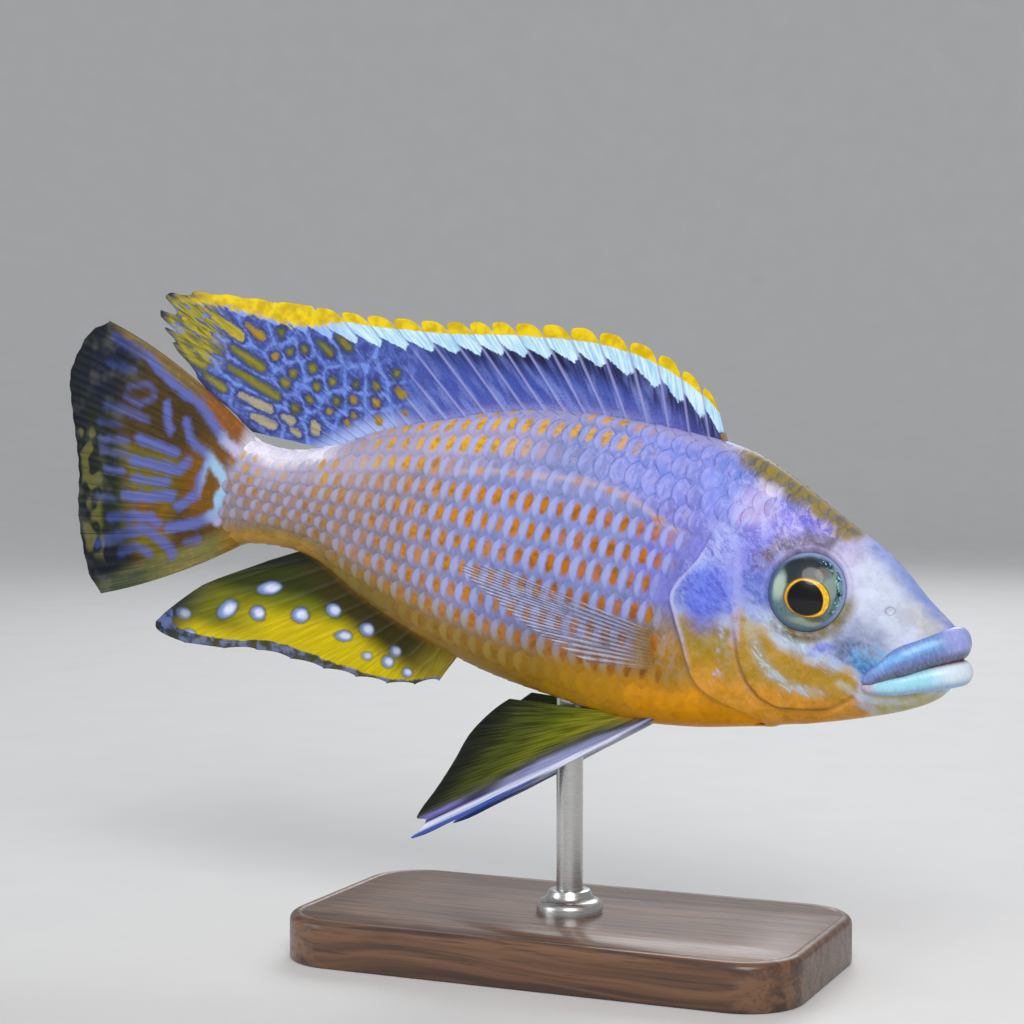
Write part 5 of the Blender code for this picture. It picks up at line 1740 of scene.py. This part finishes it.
def wood_material():
    g = Graph("stand_wood")
    spot = g.triple("spot")
    bend = g.noise(g.scaled(spot, (0.02, 0.06, 0.06)), 1.0, 2.0)
    x, y, z = g.parts(spot)
    rings = g.noise(g.vector(x * 0.006, y * 0.2, z * 0.16 + bend * 1.6), 3.0, 3.0, 0.6, 0.6)
    pores = g.noise(g.scaled(spot, (0.1, 2.4, 2.4)), 1.0, 3.0, 0.6)
    colour = g.mix(g.step(rings, 0.34, 0.66), (66, 43, 30), (118, 82, 56))
    colour = g.mix(g.step(pores, 0.56, 0.68) * 0.55, colour, (44, 29, 21))
    return g.finish(colour, g.step(pores, 0.3, 0.7, 0.34, 0.5), (pores, 0.12, 0.0001), (0.35, 0.18))


def steel_material():
    g = Graph("stand_steel")
    x, y, z = g.parts(g.triple("spot"))
    reach = g.oval(x, y)
    lines = g.noise(g.vector(reach * 7.0, 0.0, z * 7.0), 1.0, 3.0, 0.6)
    colour = g.mix(lines, (0.5, 0.5, 0.5, 1.0), (0.66, 0.65, 0.63, 1.0))
    return g.finish(colour, g.step(lines, 0.3, 0.7, 0.22, 0.36), (lines, 0.1, 0.00004), Metallic=1.0)


def under_fish(x, y):
    """Height of the belly over the floor at a place under the fish, in mm."""
    down, level = math.sin(NOSE_DOWN), math.cos(NOSE_DOWN)
    w = 0 * x
    for _ in range(12):
        forward = (x - w * down) / level
        w = belly(BODY_CENTRE - forward, y)
    return AXIS_HEIGHT - forward * down + w * level


def turned(profile):
    """Points of (radius, height) rows turned round the upright axis."""
    radius, height = np.transpose(profile)[..., None]
    return np.stack([radius * np.cos(FULL_TURN), radius * np.sin(FULL_TURN), height + 0 * FULL_TURN], -1)


def add_steel(name, points, faces, material, replaced):
    add_piece(name, points * MM, faces, material, {"spot": points}, replaced, sharp=30)


def make_stand():
    outline = []
    for quarter, sign in enumerate(((1, 1), (-1, 1), (-1, -1), (1, -1))):
        angle = np.linspace(0, np.pi / 2, CORNER_STEPS) + quarter * np.pi / 2
        centre = np.array(sign) * (np.array(STAND_HALF) - STAND_CORNER)
        outline.append((centre, np.stack([np.cos(angle), np.sin(angle)], -1)))
    points = []
    for inward, height in BASE_EDGE:
        radius = max(STAND_CORNER - inward, 0.0)
        shift = min(STAND_CORNER - inward, 0.0)
        loop = [centre + np.sign(centre) * shift + direction * radius for centre, direction in outline]
        loop = np.concatenate(loop)
        points.append(np.column_stack([loop, np.full(len(loop), height)]))
    points = np.array(points)
    add_piece("stand_base_wood", points * MM, tube(*points.shape[:2]), wood_material(), {"spot": points},
              ["stand_base"], sharp=50)
    steel = steel_material()
    rod = turned([(ROD_RADIUS, height) for height in ROD_HEIGHTS])
    rod[-1, :, 2] = under_fish(rod[-1, :, 0], rod[-1, :, 1]) + 0.1
    add_steel("stand_rod_turned", rod, tube(*rod.shape[:2]), steel, ["stand_rod"])
    collar = turned([(radius, STAND_TOP + height) for radius, height in COLLAR])
    rows, columns = collar.shape[:2]
    last = (rows - 1) * columns
    closing = [[last + j, last + (j + 1) % columns, (j + 1) % columns, j] for j in range(columns)]
    add_steel("stand_collar_turned", collar, quads(rows, columns, wrap=True) + closing, steel,
              ["stand_collar"])


def look_at_photo_angle():
    """Camera at the photograph's viewing angle, a little beside the fish and above it."""
    azimuth, elevation, distance = 22.0, 4.0, 0.340
    turn, tilt = 1.466, -1.378
    sensor, focal_pixels, picture_width = 36.0, 2274.2, 1024

    def back(az, el):
        az, el = math.radians(az), math.radians(el)
        return Vector((math.sin(az) * math.cos(el), -math.cos(az) * math.cos(el), math.sin(el)))

    camera = bpy.data.objects.new("camera", bpy.data.cameras.new("camera"))
    camera.location = Vector((0, 0, AXIS_HEIGHT * MM)) + back(azimuth, elevation) * distance
    view = back(azimuth + turn, elevation + tilt)
    camera.rotation_euler = (-view).to_track_quat("-Z", "Y").to_euler()
    camera.data.sensor_width = sensor
    camera.data.lens = focal_pixels * sensor / picture_width
    camera.data.clip_start = 0.01
    bpy.context.scene.collection.objects.link(camera)
    bpy.context.scene.camera = camera


def add_light(name, location, size, power, colour):
    light = bpy.data.lights.new(name, "AREA")
    light.shape = "DISK"
    light.size = size
    light.energy = power
    light.color = colour
    lamp = bpy.data.objects.new(name, light)
    lamp.location = location
    lamp.rotation_euler = (Vector((0, 0, 0.06)) - Vector(location)).to_track_quat("-Z", "Y").to_euler()
    bpy.context.scene.collection.objects.link(lamp)


def make_studio():
    add_light("key", (0.25, -0.55, 0.55), 0.45, 3.6, (1.0, 0.98, 0.95))
    add_light("fill", (-0.6, -0.45, 0.3), 0.5, 1.4, (0.94, 0.97, 1.0))
    add_light("rear", (-0.1, 0.6, 0.5), 0.5, 2.0, (0.97, 0.98, 1.0))
    world = bpy.data.worlds.new("studio")
    world.use_nodes = True
    background = world.node_tree.nodes["Background"]
    background.inputs["Color"].default_value = (0.93, 0.95, 1.0, 1.0)
    background.inputs["Strength"].default_value = 0.5
    bpy.context.scene.world = world
    bpy.context.scene.view_settings.view_transform = "Standard"
    profile = [(0.0, 0.0), (0.4, 0.0), (0.9, 0.0)]
    profile += [(0.9 + 0.6 * math.sin(t), 0.6 - 0.6 * math.cos(t)) for t in np.linspace(0.15, 1.5, 12)]
    profile.append((1.5, 1.2))
    points = turned(profile)
    mesh = bpy.data.meshes.new("floor")
    mesh.from_pydata(points.reshape(-1, 3).tolist(), [], quads(*points.shape[:2], wrap=True))
    g = Graph("floor")
    place_on = g.node("ShaderNodeTexCoord", {}, "Object")
    mottled = g.noise(place_on, 60.0, 3.0)
    mesh.materials.append(g.finish(g.mix(mottled, (214, 214, 214), (222, 222, 221)), 0.6))
    mesh.shade_smooth()
    floor = bpy.data.objects.new("floor", mesh)
    bpy.context.scene.collection.objects.link(floor)


look_at_photo_angle()
make_studio()
make_skin(skin_material())
lips = lip_material()
make_lip("upper_lip", UPPER_LIP, ["head"], upper_lip_shades, lips)
make_lip("lower_lip", LOWER_LIP, ["lower_jaw"], lower_lip_shades, lips)
make_stand()
make_dorsal_fin()
make_anal_fin()
make_caudal_fin()
scales, eyes, pectorals, pelvics = scale_material(), eye_material(), pectoral_material(), pelvic_material()
for word, side in SIDES:
    make_scales(word, side, scales)
    make_eye(word, side, eyes)
    make_pectoral_fin(word, side, pectorals)
    make_pelvic_fin(word, side, pelvics)
